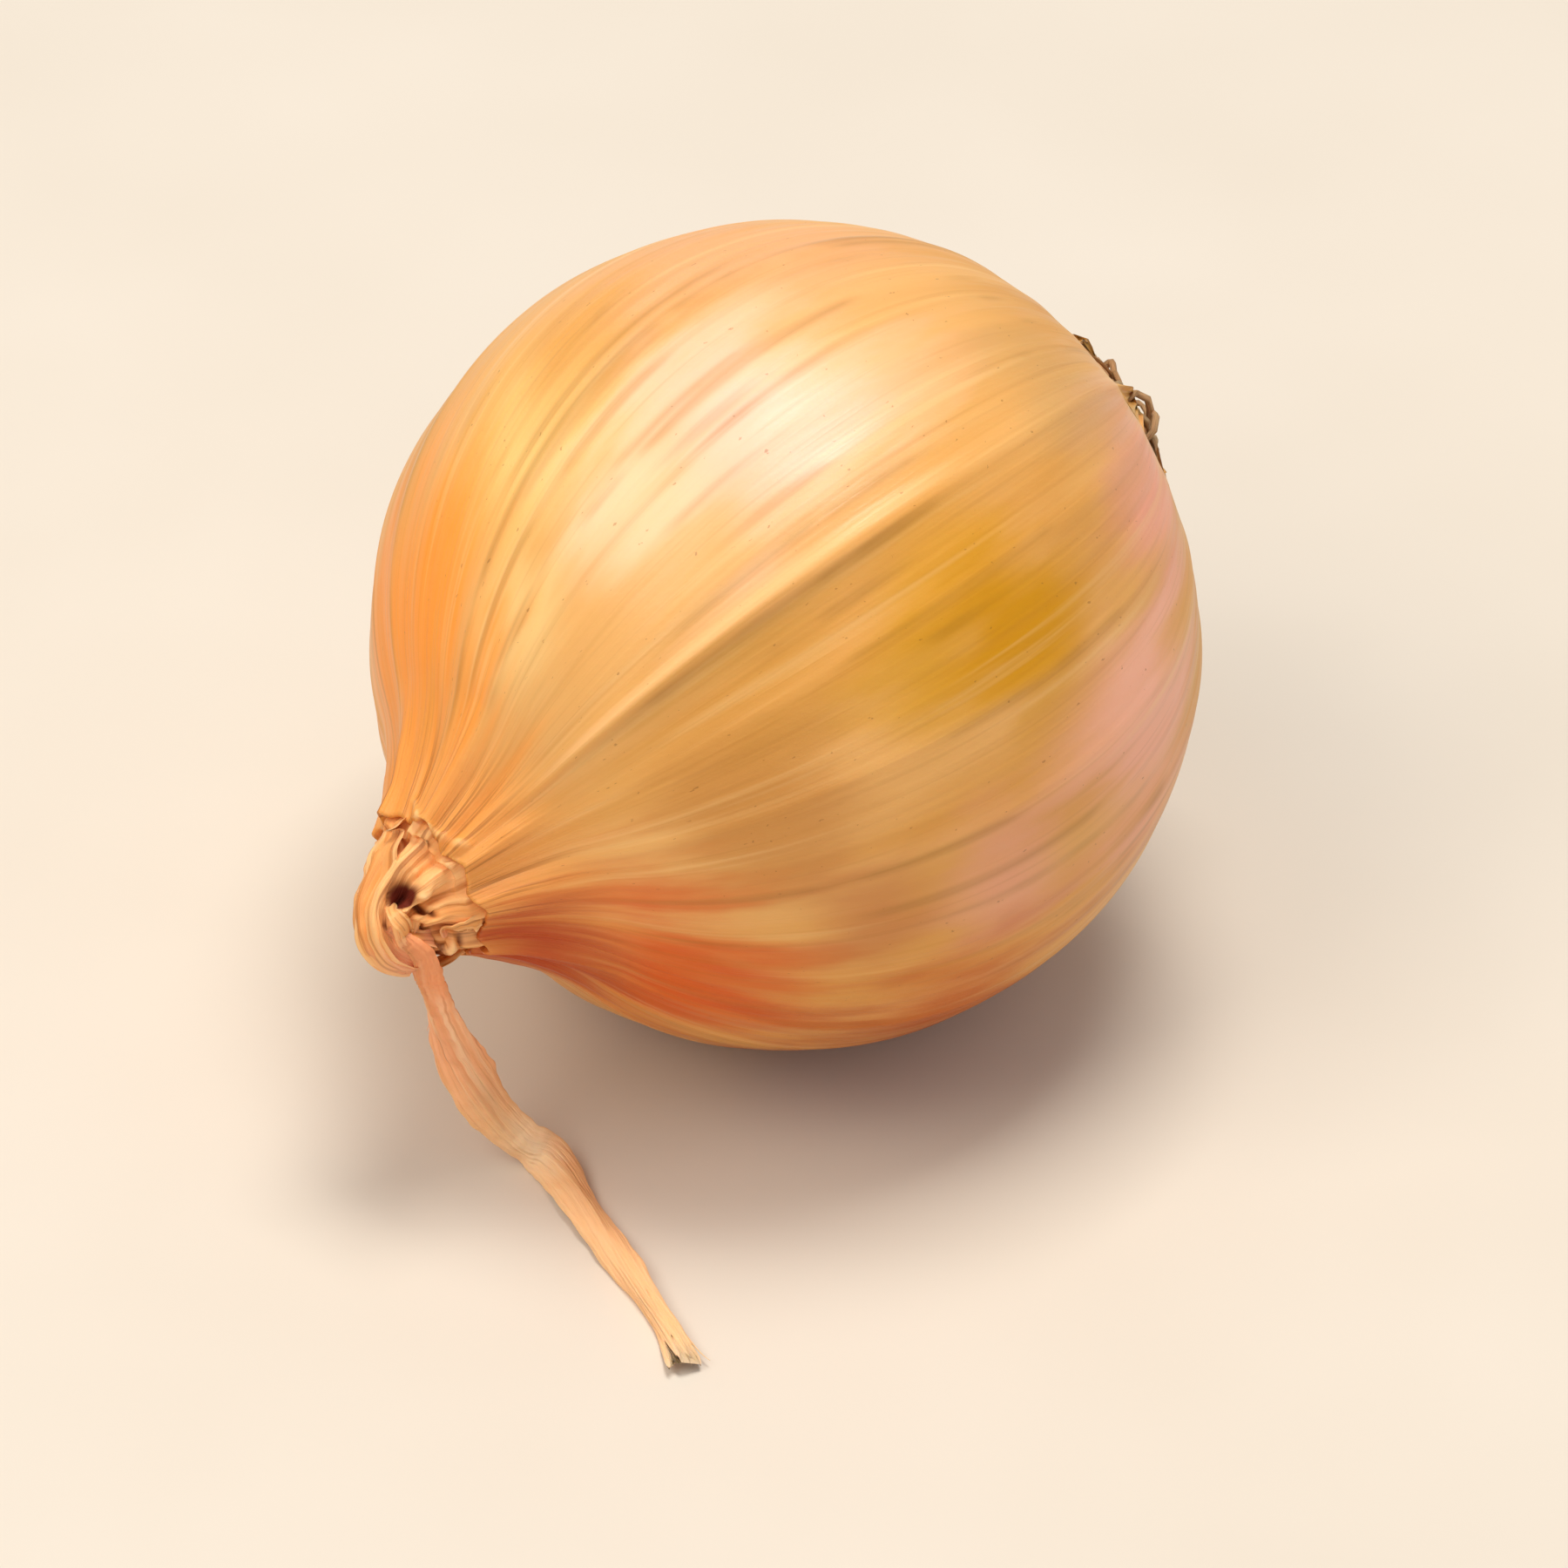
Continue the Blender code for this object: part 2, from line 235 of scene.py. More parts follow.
@dataclass(frozen=True)
class PlantFinish:
    """A dry plant surface: colours laid over each other by masks, a soft gloss and a fine relief.

    Each wash is a colour and the masks that it needs, multiplied. Each relief is a mask and its height.
    """

    name: str
    base: str
    washes: tuple[tuple[str, tuple[Mask, ...]], ...]
    relief: tuple[tuple[Mask, float], ...]
    gloss: Pair
    gloss_streaks: Streaks = Streaks(across=1.5, along=12)
    coat: float = 0.0
    coat_roughness: float = 0.3
    ior: float = 1.45
    glow: float = 0.1
    glow_depth: float = 1.5
    glow_colours: Triple = (1.0, 0.5, 0.2)

    def colour(self, tree: NodeTree) -> NodeSocket:
        """Lays the washes over the base colour and returns the last one's output."""
        below = linear(self.base)
        for colour, masks in self.washes:
            share = masks[0].mask(tree)
            for other in masks[1:]:
                inputs = {0: share, 1: other.mask(tree)}
                share = add_node(tree, "ShaderNodeMath", inputs, operation="MULTIPLY").outputs["Value"]
            inputs = {0: share, MIX_A: below, MIX_B: linear(colour)}
            below = add_node(tree, "ShaderNodeMix", inputs, data_type="RGBA").outputs[MIX_RESULT]
        return below

    def bump(self, tree: NodeTree) -> NodeSocket:
        """Adds up the relief in millimetres and returns the bumped normal."""
        total = 0.0
        for mask, height in self.relief:
            inputs = {0: mask.mask(tree), 1: height, 2: total}
            total = add_node(tree, "ShaderNodeMath", inputs, operation="MULTIPLY_ADD").outputs["Value"]
        return add_node(tree, "ShaderNodeBump", {"Height": total, "Distance": MM}).outputs["Normal"]

    def material(self) -> Material:
        """Makes the material."""
        material = bpy.data.materials.new(self.name)
        material.use_nodes = True
        tree = material.node_tree
        tree.nodes.clear()
        inputs = {"Value": self.gloss_streaks.mask(tree), "To Min": self.gloss[0], "To Max": self.gloss[1]}
        roughness = add_node(tree, "ShaderNodeMapRange", inputs)
        inputs = {
            "Base Color": self.colour(tree),
            "Roughness": roughness.outputs["Result"],
            "Normal": self.bump(tree),
            "IOR": self.ior,
            "Coat Weight": self.coat,
            "Coat Roughness": self.coat_roughness,
            "Subsurface Weight": self.glow,
            "Subsurface Radius": self.glow_colours,
            "Subsurface Scale": self.glow_depth * MM,
        }
        shader = add_node(tree, "ShaderNodeBsdfPrincipled", inputs)
        add_node(tree, "ShaderNodeOutputMaterial", {"Surface": shader.outputs["BSDF"]})
        return material


# Dry onion skin: thin, crisp and cured in air. Its cells run from neck to root, which gives fine lengthwise
# lines, a satin shine and a warm glow where the pale flesh shows through.
GOLDEN_SKIN = PlantFinish(
    name="cured_onion_skin",
    base="#E2A14C",
    washes=(
        ("#EFB871", (Streaks(across=9, along=60, low=0.4, high=0.62, most=0.7),)),
        ("#CE8C36", (Streaks(across=5, along=50, low=0.5, high=0.7, most=0.3, shift=7.1),)),
        ("#C07A30", (Patch((-17.5, -18.7, 30.1), 8, most=0.55),)),
        ("#C88834", (Patch((-18.5, -15.5, 34.5), 7, most=0.4),)),
        # Painted reflection: a pinkish sheen on the right flank and the lower front, where the skin catches
        # the bright surroundings at a grazing angle.
        ("#F0A088", (Patch((15.8, -16.4, 37.8), 9, most=0.9),)),
        ("#FFBAA2", (Patch((9.0, -24.0, 27.5), 10, most=0.9),)),
        ("#F0AA8C", (Patch((-4.5, -25.5, 23.5), 6.5, most=0.75),)),
        ("#C4743E", (Patch((-12.5, -22.8, 23.5), 6, most=0.6),)),
        ("#EEB07C", (Patch((2.0, 4.0, 51.0), 14, most=0.8),)),
        ("#D4A464", (Patch((12.4, -12.2, 44.9), 8, most=0.65),)),
        ("#CC8A2E", (Patch((6.8, -19.9, 40.9), 6.5, most=0.5),)),
        ("#CC9034", (Patch((-14.9, -15.9, 39.7), 7, most=0.45),)),
        # Painted highlight: pale cream washes on the top, where the overhead light's highlight falls,
        # spreading to the upper left.
        ("#FFD080", (Patch((-17.0, 5.0, 44.5), 10, most=0.8),)),
        ("#FFCA9C", (Patch((-8.0, -6.0, 49.0), 13, most=0.75),)),
        ("#FFCCB2", (Patch((-8.5, -6.5, 49.0), 8.5, most=0.8),)),
        ("#FFD4A8", (Patch((-16.1, -3.7, 45.7), 7.5, most=0.75),)),
        # Painted light: a pale wash on the left flank, where it faces the left light.
        ("#FFDE98", (Patch((-22.7, -0.4, 38.2), 6, most=0.75),)),
        ("#E6A428", (Patch((-3.6, -18.7, 43.3), 5.5, most=0.6),)),
        ("#D69A18", (Patch((-6.7, -21.5, 38.7), 6.5, most=0.8),)),
        ("#D29200", (Patch((-1.0, -22.0, 39.3), 7.5),)),
        # Painted bounce light: a bright orange glow on the left flank.
        ("#FF9A2A", (Patch((-22.6, 8.9, 33.0), 14, most=0.95),)),
        # Painted shade: deep orange washes on the underside and low beside the neck, where the bulb turns
        # from the light, tinted like light bounced from a warm surface.
        ("#D85A00", (Patch((-21.5, -13.0, 16.5), 11),)),
        ("#B03C00", (Patch((-24.5, -7.0, 17.0), 6.5, most=0.95),)),
        ("#CE6A10", (Patch((-6.0, -22.5, 12.5), 9, most=0.9),)),
        ("#B24E00", (Patch((0.0, -13.0, 1.0), 21),)),
        ("#E39A5C", (Patch((2.0, 25.0, 30.0), 13, most=0.8),)),
        ("#BD7E1A", (Patch((12.0, 20.0, 14.0), 10, most=0.8),)),
        ("#EDB069", (Patch((16.0, 8.0, 47.0), 9, most=0.7),)),
        ("#B97824", (Streaks(across=1.6, along=40, low=0.54, high=0.7, most=0.18, shift=3.7),)),
        ("#FFD694", (Streaks(across=1.4, along=40, low=0.55, high=0.7, most=0.25, shift=5.9),)),
        ("#A9681C", (Streaks(across=0.5, along=26, low=0.56, high=0.68, most=0.13, shift=1.3),)),
        # Painted shade in the strip below the strong ridge, on the side that turns from the light.
        ("#B9821E", (Marked(RIDGE_SHADE, most=0.5), Streaks(across=2, along=20, low=0.3, high=0.6))),
        # Darker vein crests, and also a painted shadow line below the strong ridge and painted shade in the
        # folds' creases.
        ("#96641A", (Marked(MARK_AND_SHADING, 0.1, 0.9, most=0.4), Streaks(across=8, along=14, low=0.48, high=0.62))),
        ("#EE9A48", (Stretch(start=27, full=34, most=0.7),)),
        ("#8E4C0C", (Stretch(start=28, full=35), Streaks(0.9, along=14, low=0.52, high=0.66, most=0.6))),
        # More painted shade low beside the neck.
        ("#B84000", (Patch((-25.5, -6.0, 17.5), 6.5),)),
        # Painted highlight along the top of the strong ridge and on raised folds.
        ("#FFC684", (Marked(MARK_AND_SHADING, low=-0.1, high=-0.9, most=0.9),)),
        ("#F0C090", (Marked(BARE_AND_SHADE, most=0.8),)),
        ("#8E4C14", (Stretch(start=-33.5, full=-36.5, most=0.7),)),
        ("#7E4410", (Streaks(across=0.4, along=0.6, low=0.72, high=0.76, most=0.4, detail=2, shift=9.0),)),
    ),
    relief=(
        (Streaks(across=2.0, along=40, low=0.35, high=0.65, shift=2.2), 0.04),
        (Streaks(across=0.5, along=18, low=0.3, high=0.7, shift=4.4), 0.012),
        (Streaks(across=0.3, along=0.5, low=0.3, high=0.7, detail=2), 0.004),
    ),
    gloss=(0.36, 0.5),
    coat=0.08,
    coat_roughness=0.34,
    ior=1.4,
    glow=0.15,
    glow_depth=2.0,
)

# Dried neck sheath: layers of the same skin gathered, pleated and bleached to straw, dull and fibrous.
DRY_STRAW = PlantFinish(
    name="dried_neck_straw",
    base="#EFA25A",
    washes=(
        ("#FDBE7C", (Streaks(across=1.2, along=16, low=0.42, high=0.6),)),
        ("#C87830", (Streaks(across=0.5, along=14, low=0.5, high=0.66, most=0.7, shift=3.1),)),
        ("#94480C", (Streaks(across=0.3, along=12, low=0.56, high=0.68, most=0.55, shift=6.3),)),
        ("#F4A480", (Stretch(start=8.2, full=10.4, most=0.7),)),
        # Paler on the husks' edges, and a painted highlight on raised folds.
        ("#FFCB90", (Marked(MARK_AND_SHADING, low=-0.1, high=-0.9, most=0.9),)),
        # Darker along the husks' ribs, and painted shade in the folds' creases.
        ("#803A08", (Marked(MARK_AND_SHADING, low=0.15, high=0.9),)),
        # Painted shade inside the split and on the rim folded back into the tube.
        ("#6A1E06", (Marked(BARE_AND_SHADE, low=0.05, high=0.5),)),
    ),
    relief=(
        (Streaks(across=0.6, along=14, low=0.3, high=0.7), 0.06),
        (Streaks(across=0.22, along=10, low=0.3, high=0.7, shift=2.0), 0.03),
    ),
    gloss=(0.5, 0.7),
    glow=0.15,
    glow_depth=1.0,
)

# Withered leaf: a thin green leaf that dried to a rolled, pinkish strip, with close ribs and a dull skin.
WITHERED_LEAF = PlantFinish(
    name="withered_onion_leaf",
    base="#FBB080",
    washes=(
        ("#FFCA9E", (Streaks(across=0.8, along=14, low=0.42, high=0.6),)),
        ("#E69A62", (Streaks(across=0.5, along=12, low=0.5, high=0.66, most=0.6, shift=3.3),)),
        ("#AE6430", (Streaks(across=0.25, along=9, low=0.58, high=0.7, most=0.5, shift=8.1),)),
        ("#F08C50", (Stretch(start=21, full=12, most=0.55),)),
        ("#FFC890", (Stretch(start=21, full=29, most=0.8),)),
        # Painted highlight on the knuckle, where the leaf bends down onto the floor.
        ("#FFDCB4", (Patch((-25.8, -5.6, 2.2), 3, most=0.7),)),
        ("#FFDCB0", (Stretch(start=46, full=50, most=0.9),)),
        # Painted shade along the fold's crease.
        ("#9A5020", (Marked(MARK_AND_SHADING, low=0.3, high=1.0, most=0.7),)),
    ),
    relief=(
        (Streaks(across=0.35, along=7, low=0.3, high=0.7), 0.06),
        (Streaks(across=0.2, along=1.5, low=0.3, high=0.7, shift=2.0), 0.025),
    ),
    gloss=(0.5, 0.68),
    glow=0.2,
    glow_depth=1.0,
)

# Dried roots: fine threads over a corky plate, dull, dusty and tan, with painted shade in the gaps and at the
# threads' matted bases.
DRY_ROOT = PlantFinish(
    name="dried_onion_root",
    base="#EAB078",
    washes=(
        ("#FFD8A6", (Marked(MARK_AND_SHADING, low=0.4, high=1.0),)),
        ("#C4864A", (Marked(MARK_AND_SHADING, low=0.35, high=0.0, most=0.9),)),
        # Painted shade in the plate's gaps and at the threads' matted bases.
        ("#6A3610", (Marked(BARE_AND_SHADE, low=0.0, high=1.0, most=0.9),)),
        ("#A8703E", (Streaks(across=0.5, along=2.0, low=0.5, high=0.66, most=0.6),)),
    ),
    relief=((Streaks(across=0.3, along=1.2, low=0.3, high=0.7), 0.06),),
    gloss=(0.65, 0.85),
    glow=0.1,
    glow_depth=0.6,
)


def along(values: Sequence, share: float) -> object:
    """Reads a smooth curve through a list of numbers or vectors.

    Args:
        values: At least two numbers or vectors, evenly spread along the curve.
        share: How far along, from 0 to 1.

    Returns:
        The value there, of the same kind as the list's.
    """
    last = len(values) - 1
    place = min(max(share, 0), 1) * last
    i = min(int(place), last - 1)
    t = place - i
    a, b, c, d = (values[min(max(k, 0), last)] for k in range(i - 1, i + 3))
    return 0.5 * (2 * b + (c - a) * t + (2 * a - 5 * b + 4 * c - d) * t**2 + (3 * b - a - 3 * c + d) * t**3)


@dataclass(frozen=True)
class Route:
    """A smooth curve through a few points."""

    points: tuple[Vector, ...]

    @classmethod
    def through(cls, *points: Sequence[float]) -> "Route":
        """Makes a route from plain numbers."""
        return cls(tuple(Vector(point) for point in points))

    def at(self, share: float) -> Vector:
        """Returns the point at a share of the route."""
        return along(self.points, share)

    def heading(self, share: float) -> Vector:
        """Returns the direction at a share of the route."""
        step = 0.01
        return (self.at(share + step) - self.at(share - step)).normalized()

    def carried_sides(self, rows: int, side: Vector) -> list[Vector]:
        """Carries a direction along the route without a twist.

        Args:
            rows: How many equal steps the route has.
            side: The direction at its start.

        Returns:
            A direction square to the route at each step's ends.
        """
        sides = []
        for row in range(rows + 1):
            ahead = self.heading(row / rows)
            side = (side - ahead * side.dot(ahead)).normalized()
            sides.append(side)
        return sides


@dataclass(frozen=True)
class Spot:
    """Where one point of a bent sheet goes, and what its finish reads there."""

    point: Vector
    grain: Triple
    mark: float = 0.0
    bare_and_shade: float = 0.0


def new_sheets() -> BMesh:
    """Starts an empty mesh with the attributes that the finishes read."""
    bm = bmesh.new()
    bm.verts.layers.float_vector.new(GRAIN)
    bm.verts.layers.float.new(MARK_AND_SHADING)
    bm.verts.layers.float.new(BARE_AND_SHADE)
    return bm


def add_tube(bm: BMesh, rows: int, columns: int, place: Callable[[float, float], Spot]) -> None:
    """Adds a closed tube: a grid whose points are bent round, welded along the seam and capped.

    Args:
        bm: The mesh, from new_sheets.
        rows: Faces along the tube.
        columns: Faces round it.
        place: Gives the spot for a share of the length and an angle round.
    """
    layers = bm.verts.layers
    grain, mark, bare_and_shade = layers.float_vector[GRAIN], layers.float[MARK_AND_SHADING], layers.float[BARE_AND_SHADE]
    verts = bmesh.ops.create_grid(bm, x_segments=rows, y_segments=columns, size=1)["verts"]
    for vert in verts:
        spot = place((vert.co.x + 1) / 2, math.pi * (vert.co.y + 1))
        vert.co = spot.point
        vert[grain] = spot.grain
        vert[mark] = spot.mark
        vert[bare_and_shade] = spot.bare_and_shade
    bmesh.ops.remove_doubles(bm, verts=verts, dist=WELD)
    kept = [vert for vert in verts if vert.is_valid]
    rims = {edge for vert in kept for edge in vert.link_edges if edge.is_boundary}
    bmesh.ops.holes_fill(bm, edges=list(rims))
    faces = {face for vert in kept for face in vert.link_faces}
    bmesh.ops.recalc_face_normals(bm, faces=list(faces))


def read_vectors(mesh: Mesh, name: str = "co") -> np.ndarray:
    """Returns the places of the mesh's points, or their normals if named so, as rows of three numbers."""
    flat = np.zeros(len(mesh.vertices) * 3, np.float32)
    mesh.vertices.foreach_get(name, flat)
    return flat.reshape(-1, 3).astype(float)


def move_points(mesh: Mesh, points: np.ndarray) -> None:
    """Gives the mesh new places for its points."""
    mesh.vertices.foreach_set("co", points.astype(np.float32).ravel())
    mesh.update()


def write_attribute(mesh: Mesh, name: str, values: np.ndarray) -> None:
    """Writes a number or a vector for each point of the mesh.

    Args:
        mesh: The mesh.
        name: The attribute, made if it isn't there.
        values: One number a point, or rows of three.
    """
    kind, key = ("FLOAT_VECTOR", "vector") if values.ndim == 2 else ("FLOAT", "value")
    attribute = mesh.attributes.get(name) or mesh.attributes.new(name, kind, "POINT")
    attribute.data.foreach_set(key, values.astype(np.float32).ravel())


def plain_mesh(name: str, bm: BMesh) -> Mesh:
    """Makes a mesh of a bmesh, which is freed."""
    mesh = bpy.data.meshes.new(name)
    bm.to_mesh(mesh)
    bm.free()
    return mesh


def add_piece(mesh: Mesh, to_scene: Matrix, finish: Material, slot: Slot, *stands_for: str) -> None:
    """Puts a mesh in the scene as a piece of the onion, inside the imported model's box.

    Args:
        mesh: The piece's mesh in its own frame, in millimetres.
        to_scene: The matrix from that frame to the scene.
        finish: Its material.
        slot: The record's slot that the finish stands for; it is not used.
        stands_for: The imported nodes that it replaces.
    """
    mesh.transform(to_scene)
    low, high = (np.array(corner) for corner in CAD_BOX)
    points = read_vectors(mesh)
    past = max((points - high).max(), (low - points).max(), 0) / MM
    move_points(mesh, np.clip(points, low, high))
    LOG.info("%s: %d faces, drawn in by %.2f mm", mesh.name, len(mesh.polygons), past)
    mesh.shade_smooth()
    mesh.materials.append(finish)
    piece = bpy.data.objects.new(mesh.name, mesh)
    bpy.context.scene.collection.objects.link(piece)
    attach(piece, BODY)
    if stands_for:
        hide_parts(*stands_for)


def wrapped(angle: np.ndarray) -> np.ndarray:
    """Returns angles as the same ones from -pi to pi."""
    return (angle + np.pi) % (2 * np.pi) - np.pi


def ramp(values: np.ndarray, start: float, full: float) -> np.ndarray:
    """Returns a smooth rise from 0 at start to 1 at full."""
    share = np.clip((values - start) / (full - start), 0, 1)
    return share * share * (3 - 2 * share)


def band(values: np.ndarray, start: float, full: float, fade: float, end: float) -> np.ndarray:
    """Returns a smooth rise from 0 at start to 1 at full, and a smooth fall from fade to 0 at end."""
    return ramp(values, start, full) * ramp(values, end, fade)


def bell(values: np.ndarray, middle: float, width: float) -> np.ndarray:
    """Returns 1 at the middle, falling off on both sides to about a third a width away."""
    return np.exp(-(((values - middle) / width) ** 2))


@dataclass(frozen=True)
class Ripples:
    """A sum of a few seeded waves round the bulb and along it, from about -1 to 1."""

    seed: int
    round_waves: tuple[int, int]
    long_waves: Pair
    count: int = 9

    def at(self, angle: np.ndarray, level: np.ndarray) -> np.ndarray:
        """Returns the waves' height at angles and levels."""
        draw = random.Random(self.seed)
        total = np.zeros_like(level)
        for _ in range(self.count):
            turns = draw.randint(*self.round_waves)
            climb = draw.uniform(*self.long_waves) * draw.choice((-1, 1))
            total += np.sin(turns * angle + climb * level + draw.uniform(0, math.tau))
        return total / math.sqrt(self.count)


@dataclass(frozen=True)
class BulbShape:
    """The bulb's driving sizes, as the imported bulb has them: a globe whose shoulder runs into the neck."""

    radius: float = 26
    rest_radius: float = 4.5
    droop: float = math.radians(9)
    neck_radius: float = 2.2
    shoulder: float = 18
    skin_end: float = 29.3
    lip_width: float = 0.25
    lip_depth: float = 0.9
    lip_slope: float = 0.1
    dimple_radius: float = 5.8
    dimple_depth: float = 1.3
    dimple_slope: float = 0.5
    vein_count: int = 22
    vein_height: float = 0.3
    vein_half_width: float = math.radians(3.4)
    twist: float = math.radians(1.5)
    ridge: float = math.radians(-36.8)
    ridge_height: float = 0.45
    lobes: int = 3
    lobe_height: float = 0.25
    pleats: int = 9
    pleat_height: float = 0.35
    pleats_begin: float = 0.9
    shoulder_level: float = 0.888
    shoulder_climb: float = 1.25

    @property
    def shoulder_centre(self) -> Pair:
        """The radius and height of the middle of the shoulder's hollow arc."""
        reach = self.neck_radius + self.shoulder
        return reach, math.sqrt((self.radius + self.shoulder) ** 2 - reach**2)

    def to_scene(self) -> Matrix:
        """Returns the matrix from the bulb's own frame in millimetres to the scene in metres."""
        up = Vector((-math.sin(self.droop), 0, math.cos(self.droop)))
        out = Vector((-math.cos(self.droop), 0, -math.sin(self.droop)))
        turn = Matrix((up, out.cross(up), out)).transposed().to_4x4()
        height = math.sqrt(self.radius**2 - self.rest_radius**2) * MM
        return Matrix.Translation((0, 0, height)) @ turn @ Matrix.Scale(MM, 4)

    def outline(self, shoulder_rows: int, globe_rows: int) -> list[Pair]:
        """Returns radius and height pairs from the skin's end on the neck down to the root dimple."""
        reach, middle = self.shoulder_centre
        first = math.asin((middle - self.skin_end) / self.shoulder)
        last = math.atan2(middle, reach)
        lip = reach - self.shoulder * math.cos(first) - self.lip_width
        floor = self.skin_end - self.lip_depth
        points = [(0.0, floor), (lip - self.lip_slope, floor), (lip, self.skin_end)]
        for row in range(shoulder_rows):
            angle = first + (last - first) * row / shoulder_rows
            across, up = self.shoulder * math.cos(angle), self.shoulder * math.sin(angle)
            points.append((reach - across, middle - up))
        start = math.atan2(reach, middle)
        end = math.pi - math.asin(self.dimple_radius / self.radius)
        for row in range(globe_rows + 1):
            angle = start + (end - start) * row / globe_rows
            points.append((self.radius * math.sin(angle), self.radius * math.cos(angle)))
        floor = points[-1][1] + self.dimple_depth
        points.append((self.dimple_radius - self.dimple_slope, floor))
        points.append((0.0, floor))
        return points

    def veins(self) -> list[Pair]:
        """Returns the angle and height of each main vein, the strong ridge first."""
        draw = random.Random(SEED)
        spacing = math.tau / self.vein_count
        veins = [(self.ridge, self.ridge_height)]
        for i in range(1, self.vein_count):
            angle = self.ridge + spacing * (i + draw.uniform(-0.25, 0.25))
            veins.append((angle, self.vein_height * draw.uniform(0.5, 1)))
        return veins

    def beside_ridge(self, angle: np.ndarray, level: np.ndarray) -> np.ndarray:
        """Returns how far round points are from the strong ridge."""
        return wrapped(angle - self.twist * level - self.ridge)

    def grain(self, angle: np.ndarray, level: np.ndarray) -> np.ndarray:
        """Returns the fibres' coordinates in millimetres: X and Y across the veins, and Z along them."""
        turn = angle - self.twist * level
        climb = np.arcsin(np.clip(level, -1, self.shoulder_level))
        climb += self.shoulder_climb * np.maximum(level - self.shoulder_level, 0)
        return self.radius * np.stack((np.cos(turn), np.sin(turn), climb), axis=-1)

    def root_point(self, angle: float, spread: float, height: float) -> Vector:
        """Returns a point over the root end: round it, out from its middle, above the globe."""
        reach = self.radius + height
        flat = reach * math.sin(spread)
        return Vector((flat * math.cos(angle), flat * math.sin(angle), -reach * math.cos(spread)))


@dataclass(frozen=True)
class Fold:
    """A wrinkle along a few points of the bulb's own frame, raised where its height is above 0."""

    points: tuple[Triple, ...]
    height: float
    half_width: float
    full_tone: float = 0.4

    @property
    def tone(self) -> float:
        """How pale its painted line is: -1 paints shade along a sunken crease, 1 paints a highlight on a high
        ridge.
        """
        return min(max(self.height / self.full_tone, -1), 1)

    def nearness(self, places: np.ndarray) -> np.ndarray:
        """Returns 1 on the fold's line, falling off over its half width and towards the line's ends."""
        nearest = np.full(len(places), np.inf)
        reached = np.zeros(len(places))
        for i, (a, b) in enumerate(zip(self.points, self.points[1:])):
            start, run = np.array(a), np.array(b) - np.array(a)
            share = np.clip((places - start) @ run / (run @ run), 0, 1)
            away = np.linalg.norm(places - start - share[:, None] * run, axis=1)
            reached = np.where(away < nearest, i + share, reached)
            nearest = np.minimum(nearest, away)
        middle = np.sin(np.pi * reached / (len(self.points) - 1))
        return bell(nearest, 0, self.half_width) * np.sqrt(np.maximum(middle, 0))


# The wrinkles that the neck's base shows towards the camera, across the skin's end.
NECK_FOLDS = (
    Fold(((4.9, 2.2, 27.9), (5.3, -0.1, 29.4), (4.9, -1.5, 29.1), (4.9, -3.7, 28.3)), 0.5, 0.35),
    Fold(((4.4, 0.2, 30.0), (4.3, -1.5, 29.6), (4.5, -3.4, 29.0)), -0.5, 0.28),
    Fold(((3.0, -0.8, 31.1), (3.7, -2.2, 30.3), (4.1, -3.5, 29.5)), 0.4, 0.35),
)


